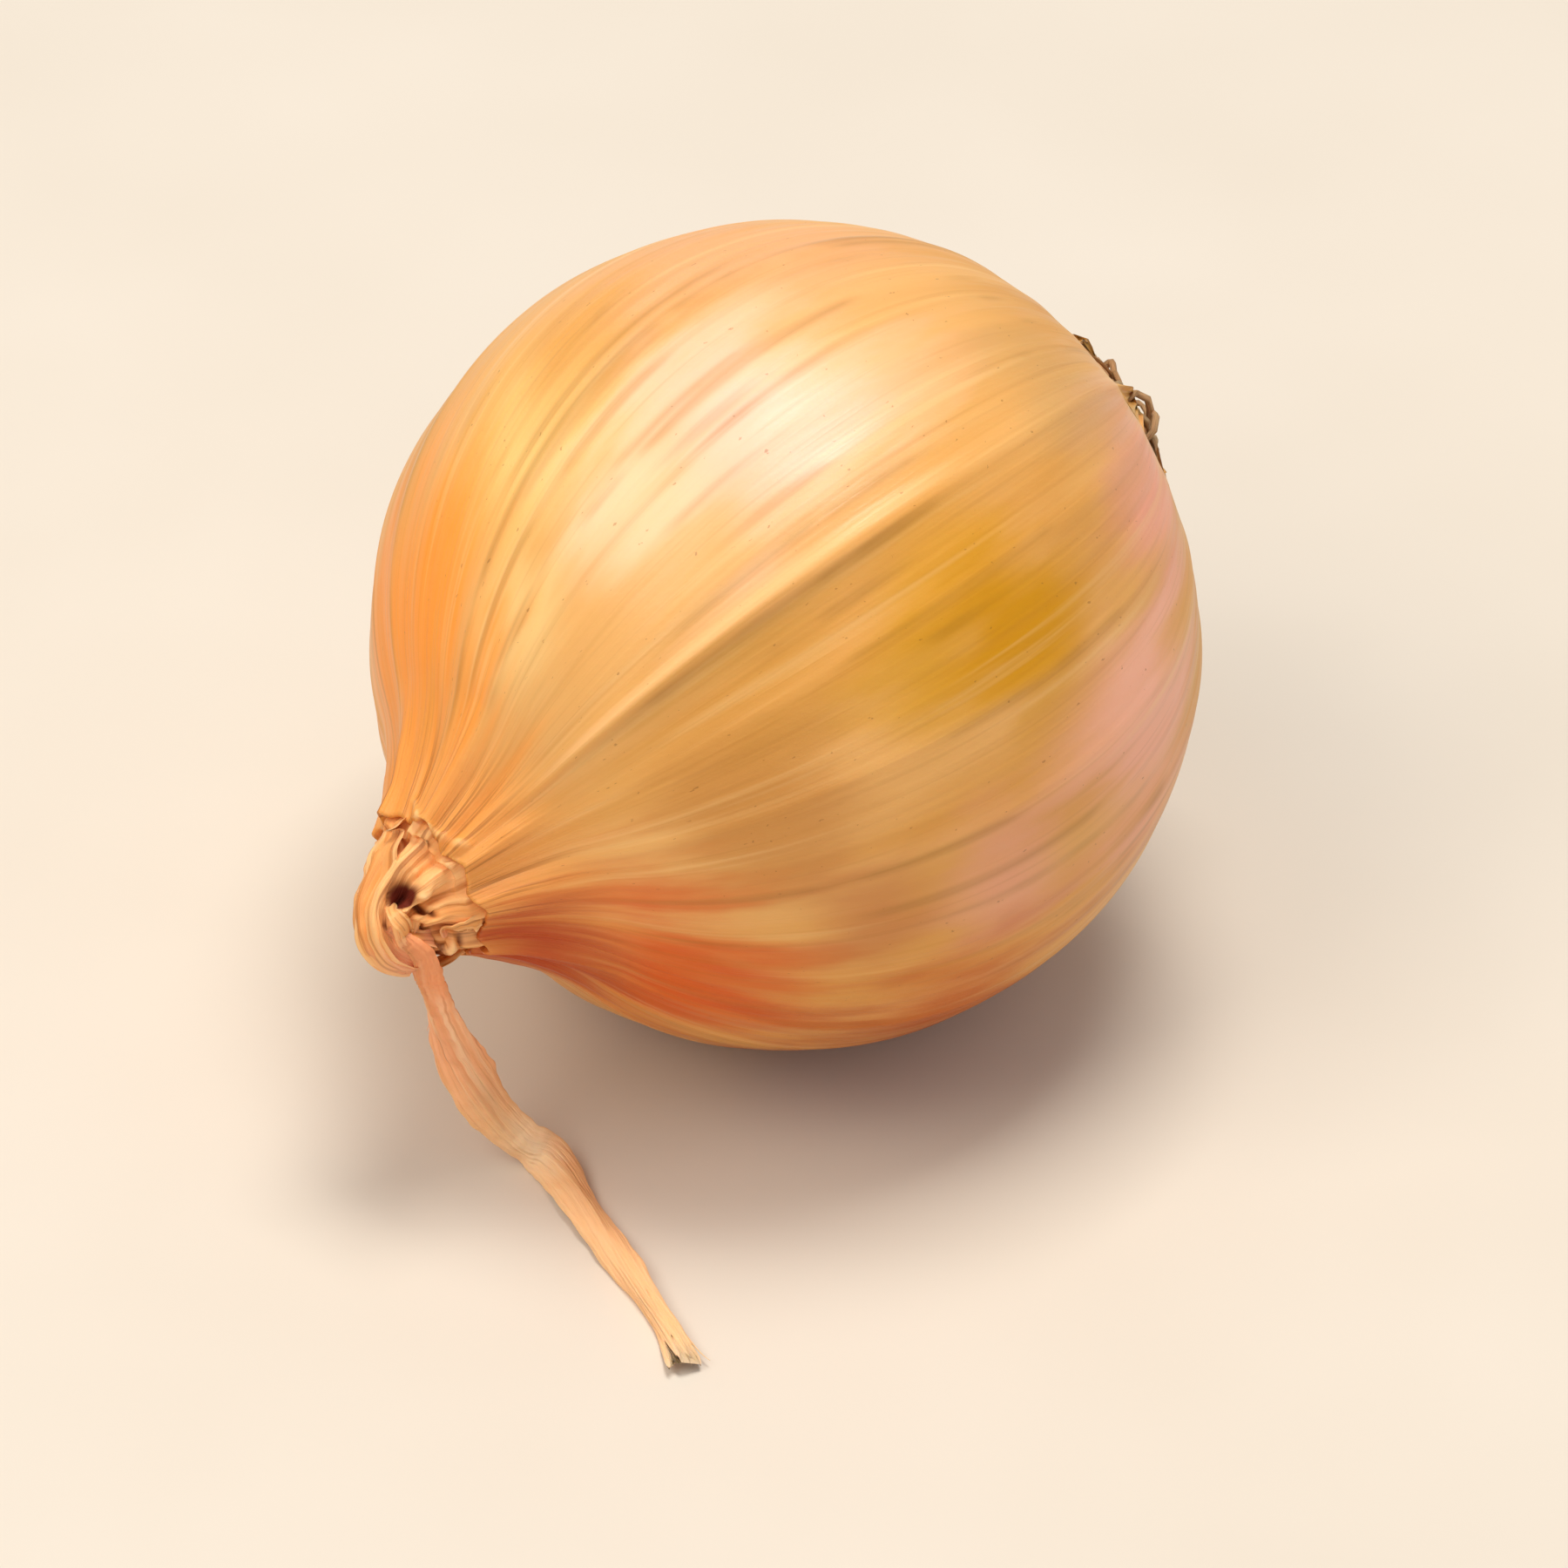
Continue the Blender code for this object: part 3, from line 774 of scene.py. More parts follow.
@dataclass(frozen=True)
class BulbSkin:
    """The bulb's whole papery skin, turned as one piece and then raised in veins, pleats and dents.

    Levels say where a thing starts, is full, starts to fade and ends. A line is a place beside the strong
    ridge and a width. An edge is where a rise beside it starts and is full.
    """

    shape: BulbShape
    finish: Material
    columns: int = 420
    shoulder_rows: int = 44
    globe_rows: int = 168
    broad_height: float = 0.5
    narrow_height: float = 0.2
    narrow_share: float = 0.3
    fine_veins: int = 40
    fine_vein_height: Pair = (0.02, 0.06)
    fine_vein_half_width: float = math.radians(1.1)
    fine_vein_starts: Pair = (-1.3, 0)
    fine_vein_ends: Pair = (0.3, 1.4)
    fine_vein_fade: float = 0.3
    fine_vein_mark: float = 0.7
    shelf_height: float = 0.5
    shelf_run: float = math.radians(18)
    shelf_edge: Pair = (math.radians(-2.6), math.radians(0.8))
    shelf_levels: Row = (-0.1, 0.4, 0.75, 1.08)
    valley_depth: float = 0.14
    valley_line: Pair = (math.radians(-8), math.radians(5))
    shadow_line: Pair = (math.radians(-1.4), math.radians(1))
    highlight_line: Pair = (math.radians(1.6), math.radians(1.4))
    highlight_share: float = 0.8
    line_levels: Row = (-0.35, 0.1, 0.8, 1.05)
    ridge_shade_run: float = math.radians(8)
    ridge_shade_edge: Pair = (math.radians(0.5), math.radians(-2.5))
    ridge_shade_levels: Row = (-0.5, 0.2, 0.8, 1.1)
    dent_height: float = 0.07
    settle: float = 0.1
    most_pleats: float = 1.2
    gathers: int = 31
    gather_height: float = 0.14
    spokes_run: float = 4.0
    ragged_from: float = 28.0
    ragged_share: float = 0.2
    torn_level: float = -0.948
    torn_depth: float = 0.016
    torn_step: Pair = (-0.001, 0.002)
    skin_thickness: float = 0.16
    folds: tuple[Fold, ...] = NECK_FOLDS

    def turned(self) -> BMesh:
        """Spins the outline round the bulb's axis."""
        bm = bmesh.new()
        outline = self.shape.outline(self.shoulder_rows, self.globe_rows)
        verts = [bm.verts.new((radius, 0, height)) for radius, height in outline]
        edges = [bm.edges.new(pair) for pair in zip(verts, verts[1:])]
        turn = {"cent": (0, 0, 0), "axis": (0, 0, 1), "angle": math.tau, "steps": self.columns}
        bmesh.ops.spin(bm, geom=verts + edges, use_merge=True, **turn)
        bmesh.ops.remove_doubles(bm, verts=bm.verts, dist=WELD)
        bmesh.ops.recalc_face_normals(bm, faces=bm.faces)
        return bm

    def vein_relief(self, angle: np.ndarray, level: np.ndarray) -> tuple[np.ndarray, np.ndarray]:
        """Raises the veins.

        Args:
            angle: Angles round the bulb.
            level: Levels along it.

        Returns:
            The height in millimetres, and how nearly each point is on a common vein's crest, from 0 to 1.
        """
        shape = self.shape
        turn = angle - shape.twist * level
        fade = np.sqrt(np.maximum(1 - level**2, 0))
        height = np.zeros_like(level)
        crest = np.zeros_like(level)
        for number, (vein, top) in enumerate(shape.veins()):
            off = wrapped(turn - vein) / shape.vein_half_width
            narrow = bell(off, 0, self.narrow_share)
            height += top * fade * (self.broad_height * bell(off, 0, 1) + self.narrow_height * narrow)
            if number:
                crest = np.maximum(crest, narrow * top / shape.vein_height)
        draw = random.Random(SEED)
        for _ in range(self.fine_veins):
            off = wrapped(turn - draw.uniform(0, math.tau)) / self.fine_vein_half_width
            top = draw.uniform(*self.fine_vein_height)
            start, end = draw.uniform(*self.fine_vein_starts), draw.uniform(*self.fine_vein_ends)
            levels = (start, start + self.fine_vein_fade, end - self.fine_vein_fade, end)
            line = bell(off, 0, 1) * band(level, *levels)
            height += top * fade * line
            crest = np.maximum(crest, self.fine_vein_mark * line)
        return height, np.minimum(crest, 1)

    def shelf(self, angle: np.ndarray, level: np.ndarray) -> np.ndarray:
        """Lifts the skin above the strong ridge, where a scale beneath it ends, and sinks it below."""
        off = self.shape.beside_ridge(angle, level)
        lift = self.shelf_height * ramp(off, *self.shelf_edge) * np.exp(-np.maximum(off, 0) / self.shelf_run)
        return (lift - self.valley_depth * bell(off, *self.valley_line)) * band(level, *self.shelf_levels)

    def ridge_shadow_and_highlight(self, angle: np.ndarray, level: np.ndarray) -> np.ndarray:
        """Returns 1 on the painted shadow line below the strong ridge, and down to -1 on the painted
        highlight along its top.
        """
        off = self.shape.beside_ridge(angle, level)
        lines = bell(off, *self.shadow_line) - self.highlight_share * bell(off, *self.highlight_line)
        return lines * band(level, *self.line_levels)

    def ridge_shade(self, angle: np.ndarray, level: np.ndarray) -> np.ndarray:
        """Returns how strongly points take the painted shade of the strip just below the strong ridge, from 0
        to 1.
        """
        off = self.shape.beside_ridge(angle, level)
        strip = ramp(off, *self.ridge_shade_edge) * np.exp(np.minimum(off, 0) / self.ridge_shade_run)
        return strip * band(level, *self.ridge_shade_levels)

    def torn_edge(self, angle: np.ndarray) -> np.ndarray:
        """Returns the level of the outer skin's torn edge round the root end."""
        waves = Ripples(seed=SEED, round_waves=(3, 17), long_waves=(0, 0))
        return self.torn_level + self.torn_depth * waves.at(angle, np.zeros_like(angle))

    def build(self) -> None:
        """Builds the skin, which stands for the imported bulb."""
        shape = self.shape
        mesh = plain_mesh("bulb_skin", self.turned())
        points, normals = read_vectors(mesh), read_vectors(mesh, "normal")
        angle = np.arctan2(points[:, 1], points[:, 0])
        level = points[:, 2] / shape.radius
        at_neck = ramp(points[:, 2], self.ragged_from - self.spokes_run, self.ragged_from)[:, None]
        spokes = np.stack((np.cos(angle), np.sin(angle), np.zeros_like(angle)), axis=-1)
        normals += (spokes - normals) * at_neck
        veins, crest = self.vein_relief(angle, level)
        past = np.maximum(level - shape.pleats_begin, 0) / (1 - shape.pleats_begin)
        fade = np.sqrt(np.maximum(1 - level**2, 0))
        gathers = Ripples(seed=SEED + 1, round_waves=(13, self.gathers), long_waves=(0, 2))
        dents = Ripples(seed=SEED + 2, round_waves=(2, 6), long_waves=(2, 6))
        torn = self.torn_edge(angle)
        bare = 1 - ramp(level, *(torn + step for step in self.torn_step))
        height = veins + self.shelf(angle, level)
        height += shape.lobe_height * np.cos(shape.lobes * angle) * fade
        height += shape.pleat_height * np.cos(shape.pleats * angle) * np.minimum(past, self.most_pleats)
        height += self.gather_height * gathers.at(angle, level) * np.minimum(past, 1)
        height += (self.dent_height * dents.at(angle, level) - self.settle) * fade
        height -= self.skin_thickness * bare
        out = np.hypot(points[:, 0], points[:, 1])
        height[(out < WELD) | (level < 0) & (out < shape.dimple_radius + 0.1)] = 0
        moved = points + normals * height[:, None]
        torn_end = Ripples(seed=SEED + 7, round_waves=(2, 19), long_waves=(0, 0))
        past_start = np.maximum(moved[:, 2] - self.ragged_from, 0)
        moved[:, 2] += self.ragged_share * past_start * torn_end.at(angle, np.zeros_like(level))
        # Mark: the common veins' darker crests, a painted shadow line below the strong ridge and a painted
        # highlight along its top, then painted shade in each fold's crease and a painted highlight on each
        # fold's ridge.
        mark = crest + self.ridge_shadow_and_highlight(angle, level)
        for fold in self.folds:
            near = fold.nearness(moved)
            moved += normals * (fold.height * near)[:, None]
            mark = mark - fold.tone * near
        move_points(mesh, moved)
        read = {GRAIN: shape.grain(angle, level), MARK_AND_SHADING: mark, BARE_AND_SHADE: bare, RIDGE_SHADE: self.ridge_shade(angle, level)}
        for name, values in read.items():
            write_attribute(mesh, name, values)
        add_piece(mesh, shape.to_scene(), self.finish, Slot.SKIN, "bulb")


@dataclass(frozen=True)
class SkinFlaps:
    """Small papery flaps that stand up from the torn edge of the skin round the root end."""

    shape: BulbShape
    finish: Material
    count: int = 13
    base_spread: Pair = (math.radians(17.5), math.radians(20))
    length: Pair = (1.6, 4.2)
    half_width: Pair = (math.radians(7), math.radians(17))
    lift: Pair = (0.4, 2.2)
    thickness: float = 0.12
    rows: int = 14
    columns: int = 36

    def build(self) -> None:
        """Builds all the flaps as one piece."""
        draw = random.Random(SEED + 3)
        shape = self.shape
        bm = new_sheets()
        for i in range(self.count):
            middle = math.tau * (i + draw.uniform(-0.3, 0.3)) / self.count
            base = draw.uniform(*self.base_spread)
            reach = draw.uniform(*self.length) / shape.radius
            half = draw.uniform(*self.half_width)
            lift = draw.uniform(*self.lift)
            phase = draw.uniform(0, math.tau)

            def place(share: float, around: float) -> Spot:
                across = math.cos(around)
                ragged = 0.8 + 0.2 * math.sin(5 * across + phase) + 0.12 * math.sin(13 * across + 2 * phase)
                taper = 1 - 0.45 * share**1.5
                angle = middle + half * across * taper
                spread = base - reach * share * ragged * (1 - 0.4 * across**2)
                curl = lift * share**1.6 * (1 + 0.3 * math.sin(3 * across + phase))
                height = 0.12 + curl + self.thickness / 2 * math.sin(around)
                grain = shape.grain(np.array(angle), np.array(-math.cos(spread)))
                return Spot(shape.root_point(angle, spread, height), tuple(grain), 0.3 * share)

            add_tube(bm, self.rows, self.columns, place)
        add_piece(plain_mesh("skin_flaps", bm), shape.to_scene(), self.finish, Slot.SKIN)


@dataclass(frozen=True)
class Gather:
    """Round ridges with sharp creases between them. Their height is a share of the neck's radius."""

    count: int
    height: float
    twist: float

    def at(self, share: float, angle: float) -> float:
        """Returns the ridges' height at a share of the neck's length and an angle round it."""
        turn = self.count / 2 * angle + self.count + self.twist * share
        return self.height * (1 - 2 * abs(math.sin(turn)))


@dataclass(frozen=True)
class HuskStrip:
    """A loose strip of husk: shares along the neck, degrees round it, and the strip's lifts and widths."""

    shares: Row
    angles: Row
    lifts: Row
    widths: Row
    curl: float = 0.2
    thickness: float = 0.16


@dataclass(frozen=True)
class DryNeck:
    """The dry neck: a bundle of pleats that bends over sharply, split at the bend, with loose strips."""

    shape: BulbShape
    finish: Material
    route: Route = Route.through(
        (0, 0, 28.5),
        (0, 0, 30.1),
        (0.3, -0.1, 31.5),
        (0.0, -0.3, 32.9),
        (-1.1, -1.1, 33.4),
        (-2.2, -1.9, 32.5),
    )
    radii: Row = (4.9, 4.2, 3.1, 2.2, 1.8, 1.4)
    pleat_shares: Row = (0.05, 0.1, 0.15, 0.15, 0.12, 0.1)
    gathers: tuple[Gather, ...] = (Gather(14, 0.035, 1.5), Gather(23, 0.03, -1.0), Gather(37, 0.018, 2.0))
    split_place: float = 0.49
    split_length: float = 0.075
    split_angle: float = math.radians(333)
    split_width: float = 0.33
    split_depth: float = 0.62
    grain_size: Pair = (4.0, 12.0)
    rim: float = 0.93
    rim_fold: float = 0.14
    rows: int = 200
    columns: int = 180
    crumple: float = 0.12
    folds: tuple[Fold, ...] = NECK_FOLDS + (
        Fold(((3.4, -3.0, 30.4), (2.4, -2.6, 31.5), (2.3, -1.9, 32.1)), 0.3, 0.25),
        Fold(((1.5, -1.3, 32.3), (1.2, -2.3, 31.9), (1.2, -3.6, 31.4)), -0.7, 0.25),
        Fold(((3.6, 0.3, 31.0), (1.9, -0.5, 33.2), (0.9, -1.3, 34.1), (-0.3, -2.1, 34.2)), -0.4, 0.22),
    )
    loose_folds: int = 14
    loose_sector: Pair = (math.radians(40), math.radians(265))
    loose_shares: Pair = (0.0, 0.5)
    loose_turn: Pair = (0.3, 0.8)
    loose_climb: Pair = (0.02, 0.14)
    loose_height: Pair = (0.2, 0.4)
    loose_half_width: Pair = (0.2, 0.35)
    strips: tuple[HuskStrip, ...] = (
        HuskStrip(
            (0.05, 0.2, 0.34, 0.46, 0.58, 0.7, 0.84, 0.98),
            (30, 32, 31, 23, 18, 18, 14, 15),
            (0, 0.2, 0.25, 0.25, 0.2, 0.2, 0.15, 0),
            (1.3, 2.0, 2.3, 2.3, 2.2, 2.2, 2.0, 1.3),
        ),
        HuskStrip(
            (0.53, 0.59, 0.66, 0.76, 0.87, 0.99),
            (342, 332, 316, 303, 292, 280),
            (0, 0.25, 0.3, 0.3, 0.3, 0.2),
            (0.4, 0.9, 1.0, 1.1, 1.2, 1.2),
        ),
        HuskStrip((0.1, 0.25, 0.4, 0.6), (110, 120, 118, 100), (0.05, 0.3, 0.35, 0.3), (1.0, 1.5, 1.2, 0.5)),
        HuskStrip(
            (0.12, 0.25, 0.36, 0.44),
            (205, 200, 194, 190),
            (0.05, 0.3, 0.5, 0.8),
            (1.3, 1.6, 1.2, 0.4),
        ),
        HuskStrip((0.1, 0.2, 0.3, 0.4), (270, 270, 262, 250), (0.05, 0.25, 0.3, 0.4), (1.0, 1.3, 1.1, 0.5)),
        HuskStrip((0.12, 0.24, 0.4, 0.55), (62, 58, 62, 70), (0.05, 0.3, 0.35, 0.3), (0.8, 1.2, 1.1, 0.4)),
    )
    strip_rows: int = 80
    strip_columns: int = 24

    def surface(self, share: float, angle: float, lift: float, sides: list[Vector]) -> Vector:
        """Finds a point over the neck.

        Args:
            share: How far along the neck's route.
            angle: How far round it from its upper side.
            lift: How far above the pleats.
            sides: The route's carried sides.

        Returns:
            The point in the bulb's own frame.
        """
        shape = self.shape
        side = sides[round(min(max(share, 0), 1) * (len(sides) - 1))]
        other = self.route.heading(share).cross(side)
        pleat = 1 + along(self.pleat_shares, share) * math.cos(shape.pleats * angle)
        pleat += sum(gather.at(share, angle) for gather in self.gathers)
        radius = along(self.radii, share) * pleat * (1 - self.split_depth * self.split(share, angle))
        return self.route.at(share) + (side * math.cos(angle) + other * math.sin(angle)) * (radius + lift)

    def split(self, share: float, angle: float) -> float:
        """Returns 1 inside the split where the neck bends, with a steep wall to 0 outside it."""
        across = ((angle - self.split_angle + math.pi) % math.tau - math.pi) / self.split_width
        down = (share - self.split_place) / self.split_length
        return math.exp(-((across**2 + down**2) ** 2))

    def all_folds(self, sides: list[Vector]) -> Iterable[Fold]:
        """Gives the listed folds, and then seeded ones round the rest of the neck."""
        yield from self.folds
        draw = random.Random(SEED + 4)
        for _ in range(self.loose_folds):
            start = draw.uniform(*self.loose_sector)
            share = draw.uniform(*self.loose_shares)
            turn = draw.uniform(*self.loose_turn) * draw.choice((-1, 1))
            climb = draw.uniform(*self.loose_climb)
            steps = (0, 0.5, 1)
            points = tuple(tuple(self.surface(share + climb * t, start + turn * t, 0, sides)) for t in steps)
            height = draw.choice((-1, 1)) * draw.uniform(*self.loose_height)
            yield Fold(points, height, draw.uniform(*self.loose_half_width))

    def sheath(self, sides: list[Vector]) -> None:
        """Builds the pleated sheath with its folds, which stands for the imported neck."""
        across, length = self.grain_size

        def place(share: float, angle: float) -> Spot:
            ragged = 1 - 0.05 * (1 + math.sin(3 * angle)) * share**4
            back = max(share - self.rim, 0) / (1 - self.rim)
            here = min(share / self.rim, 1) * ragged - self.rim_fold * back
            lift = -0.5 * math.sqrt(back)
            grain = (across * math.cos(angle), across * math.sin(angle), length * here)
            # Painted shade inside the split and on the rim that folds back into the tube.
            bare_and_shade = max(self.split(here, angle), 1.5 * back)
            return Spot(self.surface(here, angle, lift, sides), grain, 0, bare_and_shade)

        bm = new_sheets()
        add_tube(bm, self.rows, self.columns, place)
        mesh = plain_mesh("neck_sheath", bm)
        points, normals = read_vectors(mesh), read_vectors(mesh, "normal")
        height = np.array([self.crumple * noise.noise(Vector(point)) for point in points])
        mark = np.zeros(len(points))
        # Each fold paints shade into its crease and a highlight onto its ridge.
        for fold in self.all_folds(sides):
            near = fold.nearness(points)
            height += fold.height * near
            mark -= fold.tone * near
        move_points(mesh, points + normals * height[:, None])
        write_attribute(mesh, MARK_AND_SHADING, mark)
        add_piece(mesh, self.shape.to_scene(), self.finish, Slot.STRAW, "dry_neck")

    def husks(self, sides: list[Vector]) -> None:
        """Builds the loose strips as one piece."""
        bm = new_sheets()
        for number, strip in enumerate(self.strips):
            rows = zip(strip.shares, strip.angles, strip.lifts)
            stops = [Vector((share, math.radians(angle), lift)) for share, angle, lift in rows]
            middle = [self.surface(*along(stops, i / 12), sides) for i in range(13)]
            way = Route(tuple(middle))

            def place(share: float, around: float) -> Spot:
                stop = along(stops, share)
                ahead = way.heading(share)
                inner = self.surface(stop.x, stop.y, -1.0, sides)
                lift = way.at(share) - inner
                lift = (lift - ahead * lift.dot(ahead)).normalized()
                side = ahead.cross(lift)
                wobble = 1 + 0.12 * math.sin(19 * share + number)
                half = along(strip.widths, share) / 2 * wobble
                across = half * math.cos(around)
                rib = 0.05 * math.cos(9 * across)
                rise = strip.thickness / 2 * math.sin(around) + rib
                rise += strip.curl * (across * across / half - half / 3)
                grain = (across + 7 * number, 0.0, 11 * share)
                mark = 0.5 * (math.sin(9 * across) > 0.9) - 0.5 * (abs(across) > 0.7 * half)
                return Spot(way.at(share) + side * across + lift * rise, grain, mark)

            add_tube(bm, self.strip_rows, self.strip_columns, place)
        add_piece(plain_mesh("neck_husks", bm), self.shape.to_scene(), self.finish, Slot.STRAW)

    def build(self) -> None:
        """Builds the sheath and the strips."""
        sides = self.route.carried_sides(self.rows, Vector((1, 0, 0)))
        self.sheath(sides)
        self.husks(sides)


@dataclass(frozen=True)
class WitheredLeaf:
    """The withered leaf: a folded, twisted, ribbed strip that drops to the surface and lies along it."""

    finish: Material
    route: Route = Route.through(
        (-33.6, -1.4, 21.0),
        (-33.2, -2.3, 20.3),
        (-32.5, -2.8, 19.2),
        (-31.9, -2.7, 17.2),
        (-31.4, -2.7, 15.7),
        (-30.8, -2.9, 13.3),
        (-29.6, -3.0, 9.4),
        (-28.0, -3.5, 5.1),
        (-26.4, -4.5, 2.3),
        (-25.3, -6.5, 1.0),
        (-26.5, -11.1, 0.7),
        (-28.1, -16.3, 0.8),
        (-29.7, -21.7, 0.6),
        (-31.6, -26.5, 0.8),
    )
    widths: Row = (0.8, 1.3, 2.2, 2.5, 2.5, 2.8, 3.6, 3.1, 2.9, 2.9, 2.4, 2.2, 1.5, 2.4)
    turns: Row = (15, 20, 25, 35, 40, 36, 10, -20, -5, 15, -10, 20, 35, -10)
    thicknesses: Row = (0.5, 0.6, 0.8, 0.8, 0.8, 0.7, 0.5, 0.55, 0.7, 0.9, 0.9, 0.85, 0.75, 0.3)
    fold: float = 0.45
    broad_side: Vector = field(default_factory=lambda: Vector((-0.745, 0.667, 0)))
    ribs: int = 9
    rib_height: float = 0.07
    wrinkle: float = 0.12
    length: float = 49
    rows: int = 300
    columns: int = 56
    tip: float = 0.8
    tip_teeth: float = 0.045
    crease_width: float = 0.16
    fibres: int = 9
    tip_starts: Pair = (0.88, 0.93)
    side_starts: Pair = (0.1, 0.8)
    fibre_length: Pair = (0.06, 0.12)
    fibre_offset: Pair = (-0.8, 0.8)
    fibre_bow: Pair = (0.2, 0.7)
    fibre_radius: Pair = (0.06, 0.11)

    def side_at(self, share: float) -> Vector:
        """Returns the direction across the strip at a share of its route."""
        ahead = self.route.heading(share)
        side = (self.broad_side - ahead * self.broad_side.dot(ahead)).normalized()
        return Quaternion(ahead, math.radians(along(self.turns, share))) @ side

    def strip(self) -> None:
        """Builds the strip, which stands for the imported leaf."""

        def place(share: float, around: float) -> Spot:
            across = math.cos(around)
            tooth = 0.5 + 0.5 * math.sin(11 * across + 1.0)
            share *= 1 - self.tip_teeth * tooth * max(share - self.tip, 0) / (1 - self.tip)
            ahead = self.route.heading(share)
            side = self.side_at(share)
            nick = noise.noise(Vector((40 * share, 2 * across, 0))) * 0.1
            half = along(self.widths, share) / 2 * (1 + nick)
            thick = along(self.thicknesses, share) / 2
            rib = self.rib_height * math.cos(self.ribs * math.pi * across)
            crumple = self.wrinkle * noise.noise(Vector((1.2 * across, 55 * share, 3)))
            rise = (thick + rib) * math.sin(around) + self.fold * half * (abs(across) - 0.5) + crumple
            point = self.route.at(share) + side * (half * across) + ahead.cross(side) * rise
            point.z = max(point.z, 0)
            # Painted shade along the fold's crease, on one face of the strip.
            crease = bell(across, 0, self.crease_width) * (math.sin(around) > 0)
            return Spot(point, (half * across, 0.0, self.length * share), crease)

        bm = new_sheets()
        add_tube(bm, self.rows, self.columns, place)
        mesh = plain_mesh("dried_leaf", bm)
        add_piece(mesh, Matrix.Scale(MM, 4), self.finish, Slot.LEAF, "withered_leaf")

    def loose_fibres(self) -> None:
        """Builds the fine fibres that have come away along the strip and at its tip."""
        draw = random.Random(SEED + 5)
        bm = new_sheets()
        for number in range(self.fibres):
            at_tip = number < self.fibres / 2
            start = draw.uniform(*(self.tip_starts if at_tip else self.side_starts))
            end = min(start + draw.uniform(*self.fibre_length), 1.0)
            offset = draw.uniform(*self.fibre_offset)
            bow = draw.uniform(*self.fibre_bow)
            radius = draw.uniform(*self.fibre_radius)

            def place(share: float, around: float) -> Spot:
                here = start + (end - start) * share
                half = along(self.widths, here) / 2
                side = self.side_at(here)
                lift = self.route.heading(here).cross(side)
                away = half * offset + math.copysign(bow, offset) * share**1.5
                middle = self.route.at(here) + side * away + lift * (0.35 * math.sin(math.pi * share))
                spoke = side * math.cos(around) + lift * math.sin(around)
                point = middle + spoke * radius * (1 - 0.7 * share)
                point.z = max(point.z, 0)
                return Spot(point, (number, 0.0, self.length * here))

            add_tube(bm, 14, 5, place)
        add_piece(plain_mesh("leaf_fibres", bm), Matrix.Scale(MM, 4), self.finish, Slot.LEAF)

    def build(self) -> None:
        """Builds the strip and its fibres."""
        self.strip()
        self.loose_fibres()


@dataclass(frozen=True)
class ThreadSort:
    """One sort of root thread: how many, and the ranges that each one's form is drawn from."""

    count: int
    inner: Pair
    outer: Pair
    crest: Pair
    curl: Pair
    radius: Pair
    tone: Pair
    least: float = 0.3
    wave: float = 2.2


